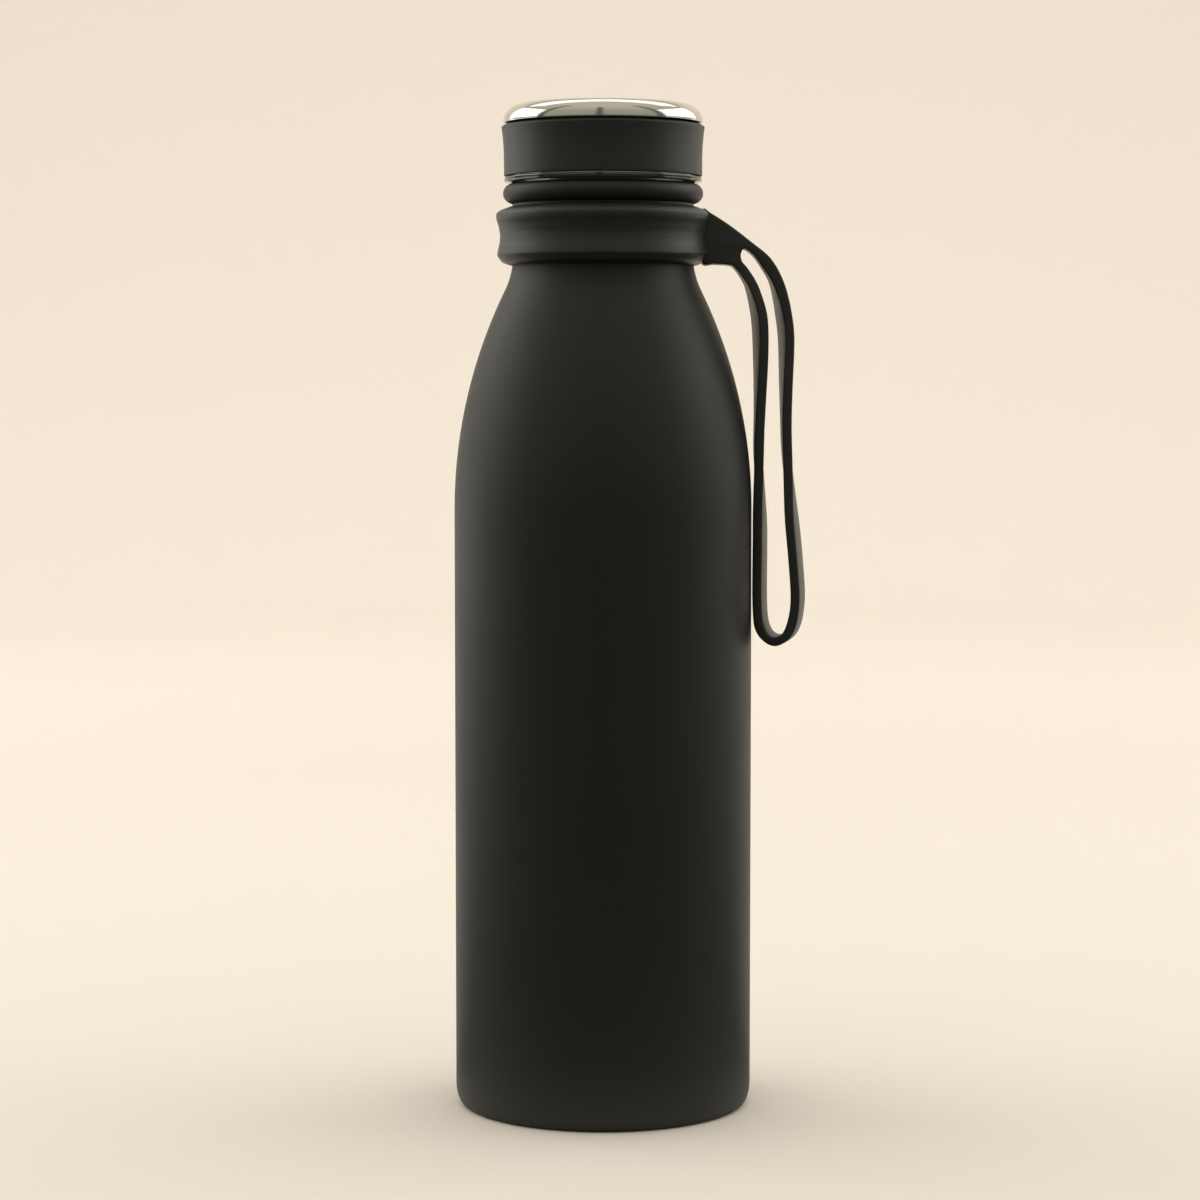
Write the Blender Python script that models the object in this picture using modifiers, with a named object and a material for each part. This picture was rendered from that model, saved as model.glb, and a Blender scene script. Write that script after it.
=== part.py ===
"""Vacuum-insulated steel bottle with a screw lid and a swivelling strap loop.

The bottle stands on the XY plane with its axis on Z, and the strap hangs towards +X.
Every length is in metres and is worked out from the named sizes below.
"""
from math import asin, cos, hypot, pi, radians, sin, sqrt

import bmesh
import bpy

MM = 0.001
STEPS = 32                       # facets around a turned piece

# Clearances
GAP = 0.3 * MM                   # between pieces that touch or are glued
THREAD_CLEAR = 0.3 * MM          # radial play of the screw thread

# Outer wall
BODY_R = 36.5 * MM
CYLINDER_TOP = 147.0 * MM        # where the straight side ends
SHOULDER_R = 122.0 * MM          # convex arc of the shoulder, seen from the side
NECK_R = 22.0 * MM
NECK_BLEND_R = 20.0 * MM         # concave arc between shoulder and neck
SHELL_WALL = 0.6 * MM
BEAD_TUBE_R = 2.45 * MM          # half-round bead above the collar
BEAD_SEAT = 0.7 * MM             # bare neck between collar and bead

# Foot
FOOT_RISE = 5.2 * MM             # height of the rounded bottom corner
FOOT_INSET = 2.3 * MM            # how far that corner comes in
FOOT_WIDTH = 1.2 * MM            # flat ring that the bottle stands on
FOOT_LIP = 3.2 * MM              # height of the lip inside the foot
COVER_RECESS = 1.0 * MM
BASE_PLATE = 0.6 * MM
BASE_CHAMBER = 0.4 * MM          # between the base cover and the outer base
DIMPLE_R = 2.9 * MM
DIMPLE_H = 1.2 * MM
SEAL_R = 2.2 * MM
SEAL_H = 0.9 * MM

# Inner wall
VACUUM_GAP = 2.9 * MM
NECK_VACUUM_GAP = 2.5 * MM       # between the neck and the inner tube
INNER_WALL = 0.4 * MM
INNER_FLOOR = 7.0 * MM
INNER_CORNER_R = 8.0 * MM
FOIL = 0.2 * MM
FOIL_MARGIN = 3.0 * MM
GETTER_R = 5.0 * MM
GETTER_H = 1.5 * MM
GETTER_OFFSET = 16.0 * MM

# Threaded neck
NECK_STEP = 2.1 * MM             # from the neck in to the threaded tube
FINISH_WALL = 0.7 * MM
FINISH_H = 11.7 * MM             # from the lid's lower edge up to the mouth
FINISH_TAIL = 3.0 * MM           # tube below the lid's lower edge
LEAD = 6.0 * MM
STARTS = 2
THREAD_H = 0.9 * MM
THREAD_ROOT = 1.3 * MM           # width of a ridge where it meets the wall
THREAD_CREST = 0.5 * MM
THREAD_TURNS = 0.95
THREAD_START = 2.6 * MM          # first ridge above the lid's lower edge

# Collar and strap
COLLAR_DROP = 2.7 * MM           # how far the collar sits down over the blend
COLLAR_H = 14.3 * MM
COLLAR_WALL = 3.4 * MM
COLLAR_WAIST = 0.55 * MM
STRAP_DEPTH = 10.0 * MM
LEG_WALL = 2.3 * MM
LEG_CLEAR = 1.45 * MM            # between the body and the strap's inner leg
KNEE_REACH = 7.8 * MM            # from the web's end out to the inner leg

# Lid
LID_H = 19.4 * MM
CORE_WALL = 1.0 * MM
COVER_WALL = 0.5 * MM
COVER_ROUND = 5.8 * MM           # how far in the top's elliptical corner begins
COVER_TURN = 0.3 * MM            # straight side above the band
COVER_STEP = 1.5 * MM            # how far the lid's top stands out over the band's seat
ROLL_STEP = 1.2 * MM             # the same for the rolled lower edge
ROLL_H = 1.2 * MM
BAND_H = 12.5 * MM
BAND_WALL = 1.0 * MM
BAND_FLARE = 0.6 * MM
GASKET_H = 1.4 * MM
CEILING = 1.5 * MM
PLUG_PLAY = 1.1 * MM             # between the mouth and the plug
PLUG_WALL = 1.2 * MM
PLUG_DROP = 3.5 * MM
LINER = 0.5 * MM

# Route of the strap's loop: out from the inner leg, and down from the collar's lower edge
LOOP_ROUTE = (
    (-2.3, 7.1), (-0.9, 13.2), (-0.55, 22.0), (-0.65, 33.0), (-0.9, 44.0), (-0.7, 55.0),
    (-0.5, 66.0), (-0.5, 83.0), (0.5, 89.4), (3.8, 91.9), (7.3, 89.6), (8.9, 82.5),
    (8.35, 72.0), (6.9, 57.0), (5.9, 43.0), (5.75, 30.0), (5.8, 18.1), (5.05, 11.5),
    (4.0, 7.1),
)
# Outline of the flexing knee: out from the web's end, and up from the collar's lower edge
KNEE_OUTLINE = (
    (0.0, 0.1), (0.7, -0.6), (2.85, -3.5), (4.25, -6.6),
    (6.7, -6.6), (5.55, -3.5), (3.75, -0.6), (2.5, 0.9), (2.2, 2.6), (3.1, 4.0),
    (5.4, 2.4), (7.55, -0.6), (9.35, -3.5), (10.5, -6.6),
    (13.2, -6.6), (12.35, -3.5), (11.05, -0.6), (8.8, 2.4), (5.2, 5.3), (0.0, 9.3),
)
# Twist of the strap about a vertical line: depth below the collar, degrees
STRAP_TWIST = ((0.0, 0.0), (13.0, 9.0), (42.0, 0.0), (66.0, -11.5), (95.0, -11.5))
TWIST_LINE = 3.7 * MM            # out from the inner leg

# Sizes that follow from those above
SHOULDER_X = BODY_R - SHOULDER_R
FOOT_R = BODY_R - FOOT_INSET
LIP_R = FOOT_R - FOOT_WIDTH - GAP
BASE_R = LIP_R - GAP
COVER_TOP = COVER_RECESS + BASE_PLATE
BASE_LOW = COVER_TOP + BASE_CHAMBER
BASE_TOP = BASE_LOW + BASE_PLATE
FINISH_R = NECK_R - NECK_STEP
TUBE_R = FINISH_R - FINISH_WALL - GAP
MOUTH_R = TUBE_R - INNER_WALL
VESSEL_R = BODY_R - SHELL_WALL - VACUUM_GAP
RIDGE_R = FINISH_R + THREAD_H
CORE_IN_R = RIDGE_R + THREAD_CLEAR
CORE_R = CORE_IN_R + CORE_WALL
SKIRT_IN_R = CORE_R + GAP
SEAT_R = SKIRT_IN_R + COVER_WALL
PLUG_R = MOUTH_R - PLUG_PLAY


def blend_height(wall_in, neck_r, blend_r):
    """Height of the centre of the neck blend of a wall that lies wall_in inside the body."""
    across = neck_r + blend_r - SHOULDER_X
    return CYLINDER_TOP + sqrt((SHOULDER_R - wall_in + blend_r) ** 2 - across**2)


NECK_START = blend_height(0.0, NECK_R, NECK_BLEND_R)
COLLAR_LOW = NECK_START - COLLAR_DROP
COLLAR_TOP = COLLAR_LOW + COLLAR_H
BEAD_Z = COLLAR_TOP + BEAD_SEAT + BEAD_TUBE_R
BEAD_TOP = BEAD_Z + BEAD_TUBE_R
LID_LOW = BEAD_TOP + GAP
LID_TOP = LID_LOW + LID_H
MOUTH_TOP = LID_LOW + FINISH_H
GASKET_LOW = MOUTH_TOP + GAP
CEILING_LOW = GASKET_LOW + GASKET_H + GAP
CEILING_TOP = CEILING_LOW + CEILING
ROLL_TOP = LID_LOW + ROLL_H
BAND_LOW = ROLL_TOP + GAP
BAND_TOP = BAND_LOW + BAND_H
CORNER_Z = BAND_TOP + GAP + COVER_TURN
CORNER_H = LID_TOP - CORNER_Z
PITCH = LEAD / STARTS
LEG_X = BODY_R + LEG_CLEAR + LEG_WALL / 2
WEB_END = LEG_X - KNEE_REACH
COLLAR_IN_R = NECK_R + GAP
COLLAR_R = COLLAR_IN_R + COLLAR_WALL


def clear_scene():
    """Remove the scene's own objects."""
    for obj in list(bpy.data.objects):
        bpy.data.objects.remove(obj, do_unlink=True)


def make_finish(name, colour, roughness, metallic):
    """Return a Principled material with one colour."""
    material = bpy.data.materials.new(name)
    material.use_nodes = True
    shader = material.node_tree.nodes["Principled BSDF"]
    shader.inputs["Base Color"].default_value = (*colour, 1.0)
    shader.inputs["Roughness"].default_value = roughness
    shader.inputs["Metallic"].default_value = metallic
    return material


def place(obj, collection, material):
    """Put an object in the model's collection and give it its material."""
    collection.objects.link(obj)
    obj.data.materials.clear()
    obj.data.materials.append(material)
    return obj


def arc(centre_x, centre_z, radius_x, start, end, count, radius_z=None):
    """Points of an arc in the XZ plane, from one angle in degrees to another."""
    radius_z = radius_x if radius_z is None else radius_z
    angles = [radians(start + (end - start) * k / count) for k in range(count + 1)]
    return [(centre_x + radius_x * cos(a), centre_z + radius_z * sin(a)) for a in angles]


def shoulder(wall_in, neck_r, blend_r):
    """Points down a wall's neck blend and shoulder, from the neck to the straight side."""
    blend_z = blend_height(wall_in, neck_r, blend_r)
    radius = SHOULDER_R - wall_in
    meet = asin((blend_z - CYLINDER_TOP) / (radius + blend_r)) * 180 / pi
    down = arc(neck_r + blend_r, blend_z, blend_r, 180.0, 180.0 + meet, 4)
    return down + arc(SHOULDER_X, CYLINDER_TOP, radius, meet, 0.0, 8)[1:]


def baked(obj, name):
    """Return a new mesh object with the evaluated shape of obj, which is removed."""
    bpy.context.view_layer.update()
    graph = bpy.context.evaluated_depsgraph_get()
    mesh = bpy.data.meshes.new_from_object(obj.evaluated_get(graph))
    mesh.name = name
    bm = bmesh.new()
    bm.from_mesh(mesh)
    bmesh.ops.remove_doubles(bm, verts=bm.verts, dist=0.005 * MM)
    bmesh.ops.holes_fill(bm, edges=bm.edges, sides=8)
    bmesh.ops.recalc_face_normals(bm, faces=bm.faces)
    bm.to_mesh(mesh)
    bm.free()
    mesh.shade_smooth()
    mesh.set_sharp_from_angle(angle=radians(35))
    bpy.data.objects.remove(obj, do_unlink=True)
    return bpy.data.objects.new(name, mesh)


def turned(name, profile, ring=False):
    """Turn a profile of (radius, height) points about Z.

    The profile runs up any inner side and down the outer side. A ring's profile is closed,
    and any other starts and ends on the axis.
    """
    edges = [(k, k + 1) for k in range(len(profile) - 1)]
    if ring:
        edges.append((len(profile) - 1, 0))
    mesh = bpy.data.meshes.new(name)
    mesh.from_pydata([(x, 0.0, z) for x, z in profile], edges, [])
    obj = bpy.data.objects.new(name + "_profile", mesh)
    bpy.context.scene.collection.objects.link(obj)
    screw = obj.modifiers.new("turn", "SCREW")
    screw.steps = STEPS
    screw.render_steps = STEPS
    screw.use_merge_vertices = True
    screw.merge_threshold = 0.005 * MM
    return baked(obj, name)


def joined(obj, tools):
    """Return obj with the tools made one with it, and the tools removed."""
    collection = bpy.context.scene.collection
    for one in [obj, *tools]:
        collection.objects.link(one)
    for tool in tools:
        union = obj.modifiers.new("join", "BOOLEAN")
        union.operation = "UNION"
        union.solver = "EXACT"
        union.object = tool
    whole = baked(obj, obj.name)
    for tool in tools:
        bpy.data.objects.remove(tool, do_unlink=True)
    return whole


def ridge(wall_r, crest_r, height, start):
    """One start of a screw thread, from just inside its wall out to the crest."""
    into = 0.35 * MM if wall_r < crest_r else -0.35 * MM
    outline = [
        (crest_r, height + THREAD_CREST / 2),
        (crest_r, height - THREAD_CREST / 2),
        (wall_r, height - THREAD_ROOT / 2),
        (wall_r - into, height - THREAD_ROOT / 2),
        (wall_r - into, height + THREAD_ROOT / 2),
        (wall_r, height + THREAD_ROOT / 2),
    ]
    turn = 2 * pi * start / STARTS
    points = [(x * cos(turn), x * sin(turn), z) for x, z in outline]
    mesh = bpy.data.meshes.new("ridge")
    mesh.from_pydata(points, [(k, (k + 1) % len(points)) for k in range(len(points))], [])
    obj = bpy.data.objects.new("ridge", mesh)
    bpy.context.scene.collection.objects.link(obj)
    screw = obj.modifiers.new("turn", "SCREW")
    screw.angle = 2 * pi * THREAD_TURNS
    screw.screw_offset = LEAD * THREAD_TURNS
    screw.steps = round(STEPS * THREAD_TURNS)
    screw.render_steps = screw.steps
    return baked(obj, "ridge")


def turn_with_height(obj):
    """Twist a piece of the strap about its vertical line."""
    line = LEG_X + TWIST_LINE
    for vertex in obj.data.vertices:
        depth = (COLLAR_LOW - vertex.co.z) / MM
        angle = radians(twist_at(depth))
        x, y = vertex.co.x - line, vertex.co.y
        vertex.co.x = line + x * cos(angle) - y * sin(angle)
        vertex.co.y = x * sin(angle) + y * cos(angle)
    return obj


def twist_at(depth):
    """Twist in degrees at a depth in millimetres below the collar."""
    if depth <= STRAP_TWIST[0][0]:
        return STRAP_TWIST[0][1]
    for (low, before), (high, after) in zip(STRAP_TWIST, STRAP_TWIST[1:]):
        if depth <= high:
            share = (depth - low) / (high - low)
            return before + (after - before) * share * share * (3 - 2 * share)
    return STRAP_TWIST[-1][1]


def flat_outline(name, points, thickness):
    """A flat outline in the XZ plane with a thickness along Y, given as (x, z) points."""
    curve = bpy.data.curves.new(name, "CURVE")
    curve.dimensions = "2D"
    curve.fill_mode = "BOTH"
    curve.extrude = thickness / 2
    spline = curve.splines.new("POLY")
    spline.points.add(len(points) - 1)
    for point, (x, z) in zip(spline.points, points):
        point.co = (x, z, 0.0, 1.0)
    spline.use_cyclic_u = True
    obj = bpy.data.objects.new(name + "_outline", curve)
    obj.rotation_euler = (pi / 2, 0.0, 0.0)
    bpy.context.scene.collection.objects.link(obj)
    bpy.context.view_layer.update()
    stood = obj.matrix_world.copy()
    solid = baked(obj, name)
    solid.data.transform(stood)
    return solid


def outer_shell():
    """Coated outer wall: neck bead, neck, shoulder, straight side and foot."""
    wall = SHELL_WALL
    bead = arc(NECK_R, BEAD_Z, BEAD_TUBE_R, 90.0, -90.0, 6)
    inner_bead = arc(NECK_R, BEAD_Z, BEAD_TUBE_R - wall, -90.0, 90.0, 6)
    corner = arc(FOOT_R, FOOT_RISE, FOOT_INSET, 0.0, -90.0, 4, FOOT_RISE)
    inner_corner = arc(FOOT_R, FOOT_RISE, FOOT_INSET - wall, -90.0, 0.0, 4, FOOT_RISE - wall)
    profile = [(FINISH_R + GAP, BEAD_TOP)] + bead
    profile += shoulder(0.0, NECK_R, NECK_BLEND_R) + corner
    profile += [(FOOT_R - FOOT_WIDTH, 0.0), (LIP_R, GAP), (LIP_R, FOOT_LIP)]
    profile += [(LIP_R + wall, FOOT_LIP), (LIP_R + wall, wall)]
    profile += inner_corner
    profile += shoulder(wall, NECK_R - wall, NECK_BLEND_R + wall)[::-1]
    profile += [(NECK_R - wall, BEAD_Z - BEAD_TUBE_R + wall)] + inner_bead
    profile += [(FINISH_R + GAP, BEAD_TOP - wall)]
    return turned("outer_shell", profile, ring=True)


def outer_base():
    """Steel plate that closes the outer wall, with the dimple it is evacuated through."""
    profile = [
        (0.0, BASE_TOP + DIMPLE_H),
        (DIMPLE_R + 0.2 * MM, BASE_TOP + DIMPLE_H),
        (DIMPLE_R + DIMPLE_H + BASE_PLATE, BASE_TOP),
        (BASE_R, BASE_TOP),
        (BASE_R, BASE_LOW),
        (DIMPLE_R + DIMPLE_H, BASE_LOW),
        (DIMPLE_R, BASE_LOW + DIMPLE_H),
        (0.0, BASE_LOW + DIMPLE_H),
    ]
    return turned("outer_base", profile)


def vacuum_seal():
    """Bead of solder glass in the dimple."""
    low, high = BASE_LOW, BASE_LOW + SEAL_H
    rim = 0.3 * MM
    profile = [(0.0, high), (SEAL_R - rim, high), (SEAL_R, high - rim), (SEAL_R, low), (0.0, low)]
    return turned("vacuum_seal", profile)


def base_cover():
    """Flat disc under the outer base, set back from the foot."""
    rim = 0.15 * MM
    profile = [
        (0.0, COVER_TOP),
        (BASE_R, COVER_TOP),
        (BASE_R, COVER_RECESS + rim),
        (BASE_R - rim, COVER_RECESS),
        (0.0, COVER_RECESS),
    ]
    return turned("base_cover", profile)


def getter():
    """Button that takes up gas in the vacuum, on the outer base."""
    rim = 0.3 * MM
    profile = [(0.0, GETTER_H), (GETTER_R - rim, GETTER_H), (GETTER_R, GETTER_H - rim)]
    profile += [(GETTER_R, 0.0), (0.0, 0.0)]
    obj = turned("getter", profile)
    obj.location = (GETTER_OFFSET, 0.0, BASE_TOP + GAP)
    return obj


def inner_vessel():
    """Inner wall that holds the drink, open at the mouth."""
    wall = INNER_WALL
    wall_in = BODY_R - VESSEL_R
    blend_r = NECK_BLEND_R
    corner_x, corner_z = VESSEL_R - INNER_CORNER_R, INNER_FLOOR + INNER_CORNER_R
    rim = MOUTH_TOP - GAP
    inside = [(0.0, INNER_FLOOR + wall)]
    inside += arc(corner_x, corner_z, INNER_CORNER_R - wall, -90.0, 0.0, 5)
    inside += shoulder(wall_in + wall, MOUTH_R, blend_r + wall)[::-1]
    outside = shoulder(wall_in, TUBE_R, blend_r)
    outside += arc(corner_x, corner_z, INNER_CORNER_R, 0.0, -90.0, 5)
    profile = inside + [(MOUTH_R, rim), (TUBE_R, rim)] + outside + [(0.0, INNER_FLOOR)]
    return turned("inner_vessel", profile)


def foil_wrap():
    """Reflecting foil around the inner wall, in the vacuum."""
    low = INNER_FLOOR + INNER_CORNER_R + FOIL_MARGIN
    high = CYLINDER_TOP - FOIL_MARGIN
    inner_r = VESSEL_R + GAP
    outer_r = inner_r + FOIL
    profile = [(outer_r, high), (outer_r, low), (inner_r, low), (inner_r, high)]
    return turned("foil_wrap", profile, ring=True)


def neck_finish():
    """Bare steel tube above the bead, with the outer thread."""
    low, high = LID_LOW - FINISH_TAIL, MOUTH_TOP
    inner_r = FINISH_R - FINISH_WALL
    roll = 0.15 * MM
    profile = [
        (FINISH_R - roll, high),
        (FINISH_R, high - roll),
        (FINISH_R, low),
        (inner_r, low),
        (inner_r, high - roll),
        (inner_r + roll, high),
    ]
    tube = turned("neck_finish", profile, ring=True)
    height = LID_LOW + THREAD_START
    return joined(tube, [ridge(FINISH_R, RIDGE_R, height, k) for k in range(STARTS)])


def strap_collar():
    """Soft ring round the neck, with the web that the strap grows from."""
    low, high = COLLAR_LOW, COLLAR_TOP
    bulge = COLLAR_R + 0.5 * MM
    waist = COLLAR_R - COLLAR_WAIST
    profile = [
        (COLLAR_IN_R, high - 0.3 * MM),
        (COLLAR_IN_R + 0.3 * MM, high),
        (COLLAR_R - 0.5 * MM, high - 0.95 * MM),
        (COLLAR_R + 0.25 * MM, high - 1.6 * MM),
        (bulge, high - 2.4 * MM),
        (COLLAR_R, high - 4.2 * MM),
        (waist, (low + high) / 2),
        (COLLAR_R + 0.1 * MM, low + 3.7 * MM),
        (COLLAR_R + 0.15 * MM, low + 2.7 * MM),
        (COLLAR_R - 0.9 * MM, low + 0.8 * MM),
        (COLLAR_IN_R + 0.5 * MM, low),
        (COLLAR_IN_R, low + 0.7 * MM),
    ]
    band = turned("strap_collar", profile, ring=True)
    root = COLLAR_R - 1.4 * MM
    slope = (high - 1.7 * MM - (low + KNEE_OUTLINE[-1][1] * MM)) / (WEB_END - COLLAR_R - 0.8 * MM)
    web = [
        (root, low + 0.5 * MM),
        (WEB_END - GAP, low + KNEE_OUTLINE[0][1] * MM),
        (WEB_END - GAP, low + KNEE_OUTLINE[-1][1] * MM + slope * GAP),
        (COLLAR_R + 0.8 * MM, high - 1.7 * MM),
        (root, high - 0.6 * MM),
    ]
    return joined(band, [flat_outline("web", web, STRAP_DEPTH)])


def strap_knee():
    """Part of the moulding that bends when the loop is lifted."""
    points = [(WEB_END + out * MM, COLLAR_LOW + up * MM) for out, up in KNEE_OUTLINE]
    return turn_with_height(flat_outline("strap_knee", points, STRAP_DEPTH))


def strap_loop():
    """Two flat legs joined by a round end, with a finger gap between them."""
    curve = bpy.data.curves.new("strap_loop", "CURVE")
    curve.dimensions = "2D"
    curve.fill_mode = "NONE"
    curve.resolution_u = 3
    curve.extrude = STRAP_DEPTH / 2
    spline = curve.splines.new("BEZIER")
    spline.bezier_points.add(len(LOOP_ROUTE) - 1)
    for point, (out, down) in zip(spline.bezier_points, LOOP_ROUTE):
        point.co = (LEG_X + out * MM, COLLAR_LOW - down * MM, 0.0)
        point.handle_left_type = "AUTO"
        point.handle_right_type = "AUTO"
    obj = bpy.data.objects.new("strap_loop_route", curve)
    obj.rotation_euler = (pi / 2, 0.0, 0.0)
    bpy.context.scene.collection.objects.link(obj)
    bpy.context.view_layer.update()
    stood = obj.matrix_world.copy()
    ribbon = baked(obj, "strap_loop")
    ribbon.data.transform(stood)
    bpy.context.scene.collection.objects.link(ribbon)
    wall = ribbon.modifiers.new("wall", "SOLIDIFY")
    wall.thickness = LEG_WALL
    wall.offset = 0.0
    return turn_with_height(baked(ribbon, "strap_loop"))


def lid_cover():
    """Drawn steel cup over the lid, with a seat for the band and a rolled lower edge."""
    wall, turn_in = COVER_WALL, 0.3 * MM
    top_r, roll_r = SEAT_R + COVER_STEP, SEAT_R + ROLL_STEP
    corner_x = top_r - COVER_ROUND
    seat_top = BAND_TOP + GAP
    profile = [(0.0, LID_TOP)]
    profile += arc(corner_x, CORNER_Z, COVER_ROUND, 90.0, 0.0, 7, CORNER_H)
    profile += [(top_r - turn_in, seat_top), (SEAT_R, seat_top)]
    profile += [(SEAT_R, ROLL_TOP), (roll_r - turn_in, ROLL_TOP), (roll_r, ROLL_TOP - turn_in)]
    profile += [(roll_r, LID_LOW + turn_in), (roll_r - turn_in, LID_LOW), (SKIRT_IN_R, LID_LOW)]
    profile += [(SKIRT_IN_R, seat_top - wall)]
    profile += arc(corner_x, CORNER_Z, COVER_ROUND - wall, 0.0, 90.0, 6, CORNER_H - wall)
    profile += [(0.0, LID_TOP - wall)]
    return turned("lid_cover", profile)


def grip_band():
    """Soft grip band round the lid, flared at its upper edge."""
    inner_r = SEAT_R + GAP
    outer_r = inner_r + BAND_WALL
    flare_r = outer_r + BAND_FLARE
    profile = [
        (inner_r, BAND_TOP),
        (flare_r - 1.0 * MM, BAND_TOP),
        (flare_r, BAND_TOP - 0.6 * MM),
        (outer_r + 0.2 * MM, BAND_TOP - 3.4 * MM),
        (outer_r, (BAND_LOW + BAND_TOP) / 2),
        (outer_r, BAND_LOW + 0.3 * MM),
        (outer_r - 0.3 * MM, BAND_LOW),
        (inner_r, BAND_LOW),
    ]
    return turned("grip_band", profile, ring=True)


def lid_core():
    """Moulded cap with the inner thread, the gasket's groove and the plug."""
    low = LID_LOW + GAP
    round_off = 0.4 * MM
    profile = [
        (0.0, CEILING_TOP),
        (CORE_R - round_off, CEILING_TOP),
        (CORE_R, CEILING_TOP - round_off),
        (CORE_R, low),
        (CORE_IN_R, low),
        (CORE_IN_R, CEILING_LOW),
        (PLUG_R, CEILING_LOW),
        (PLUG_R, CEILING_LOW - PLUG_DROP),
        (PLUG_R - PLUG_WALL, CEILING_LOW - PLUG_DROP),
        (PLUG_R - PLUG_WALL, CEILING_LOW),
        (0.0, CEILING_LOW),
    ]
    cap = turned("lid_core", profile)
    height = LID_LOW + THREAD_START - PITCH / 2
    crest_r = FINISH_R + THREAD_CLEAR
    return joined(cap, [ridge(CORE_IN_R, crest_r, height, k) for k in range(STARTS)])


def lid_foam():
    """Insulating disc between the cap and the steel cup."""
    low, high = CEILING_TOP + GAP, LID_TOP - COVER_WALL - GAP
    outer_r = CORE_R - 0.1 * MM
    slant = 2.6 * MM
    profile = [(0.0, high), (outer_r - slant, high), (outer_r, high - slant)]
    profile += [(outer_r, low), (0.0, low)]
    return turned("lid_foam", profile)


def lid_liner():
    """Steel disc that closes the plug and faces the drink."""
    low = CEILING_LOW - PLUG_DROP + 0.2 * MM
    outer_r = PLUG_R - PLUG_WALL - GAP
    profile = [(0.0, low + LINER), (outer_r, low + LINER), (outer_r, low), (0.0, low)]
    return turned("lid_liner", profile)


def lid_gasket():
    """Sealing ring between the mouth and the cap."""
    inner_r, outer_r = PLUG_R + GAP, CORE_IN_R - GAP - 0.2 * MM
    low, high = GASKET_LOW, GASKET_LOW + GASKET_H
    rim = 0.2 * MM
    profile = [(inner_r, high), (outer_r, high), (outer_r, low + rim), (outer_r - rim, low)]
    profile += [(inner_r + rim, low), (inner_r, low + rim)]
    return turned("lid_gasket", profile, ring=True)


def build():
    """Model the bottle and place its pieces in one collection."""
    clear_scene()
    coat = make_finish("black_powder_coat", (0.016, 0.016, 0.015), 0.48, 0.0)
    steel = make_finish("polished_steel", (0.72, 0.70, 0.66), 0.16, 1.0)
    satin = make_finish("satin_steel", (0.56, 0.55, 0.53), 0.34, 1.0)
    silicone = make_finish("black_silicone", (0.020, 0.020, 0.018), 0.62, 0.0)
    plastic = make_finish("grey_plastic", (0.10, 0.10, 0.10), 0.45, 0.0)
    clear_rubber = make_finish("white_silicone", (0.70, 0.70, 0.68), 0.50, 0.0)
    foam = make_finish("pale_foam", (0.75, 0.72, 0.62), 0.90, 0.0)
    copper = make_finish("copper_foil", (0.80, 0.45, 0.30), 0.28, 1.0)
    glass = make_finish("solder_glass", (0.12, 0.13, 0.12), 0.20, 0.0)
    bottle = bpy.data.collections.new("insulated_bottle")
    bpy.context.scene.collection.children.link(bottle)
    pieces = (
        (outer_shell, coat), (base_cover, satin), (outer_base, satin), (vacuum_seal, glass),
        (getter, satin), (inner_vessel, satin), (foil_wrap, copper), (neck_finish, satin),
        (strap_collar, silicone), (strap_knee, silicone), (strap_loop, silicone),
        (lid_cover, steel), (grip_band, silicone), (lid_core, plastic), (lid_foam, foam),
        (lid_liner, satin), (lid_gasket, clear_rubber),
    )
    for make, material in pieces:
        place(make(), bottle, material)


build()
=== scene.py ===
"""Looks of a vacuum-insulated steel bottle with a screw lid and a soft strap.

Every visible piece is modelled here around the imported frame: the coated body, the bare
threaded neck, the lid with its grip band, and the collar and strap, which are one moulding.
Lengths are in metres, +Z is up, and the strap hangs towards +X.
"""

from __future__ import annotations

import logging
from dataclasses import dataclass
from enum import Enum
from math import asin, cos, degrees, pi, radians, sin, sqrt

import bmesh
import bpy
from mathutils import Matrix, Vector

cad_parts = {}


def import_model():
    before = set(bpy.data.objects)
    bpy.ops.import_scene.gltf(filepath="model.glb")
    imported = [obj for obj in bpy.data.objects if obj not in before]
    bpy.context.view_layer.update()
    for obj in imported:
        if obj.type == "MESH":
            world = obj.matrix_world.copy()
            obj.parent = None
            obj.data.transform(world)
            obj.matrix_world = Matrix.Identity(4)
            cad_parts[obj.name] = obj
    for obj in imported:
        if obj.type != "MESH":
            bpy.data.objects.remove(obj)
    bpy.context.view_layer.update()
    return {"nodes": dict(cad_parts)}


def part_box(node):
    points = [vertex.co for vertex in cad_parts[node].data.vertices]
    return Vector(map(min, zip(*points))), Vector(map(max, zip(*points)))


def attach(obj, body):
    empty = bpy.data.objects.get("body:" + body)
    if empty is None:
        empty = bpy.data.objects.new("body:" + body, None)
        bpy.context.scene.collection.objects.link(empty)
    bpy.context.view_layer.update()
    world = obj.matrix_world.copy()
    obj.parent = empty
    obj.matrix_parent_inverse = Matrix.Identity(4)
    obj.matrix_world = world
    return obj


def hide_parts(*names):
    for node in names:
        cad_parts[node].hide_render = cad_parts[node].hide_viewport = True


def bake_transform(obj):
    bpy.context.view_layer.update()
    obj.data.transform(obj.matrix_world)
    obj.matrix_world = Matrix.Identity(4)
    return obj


LOG = logging.getLogger("insulated_bottle")
MM = 0.001
HAIR = 0.02 * MM                 # how far a fine surface keeps inside its CAD solid

Point = tuple[float, float]
Colour = tuple[float, float, float]


# ---------------------------------------------------------------- shader maths


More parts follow.
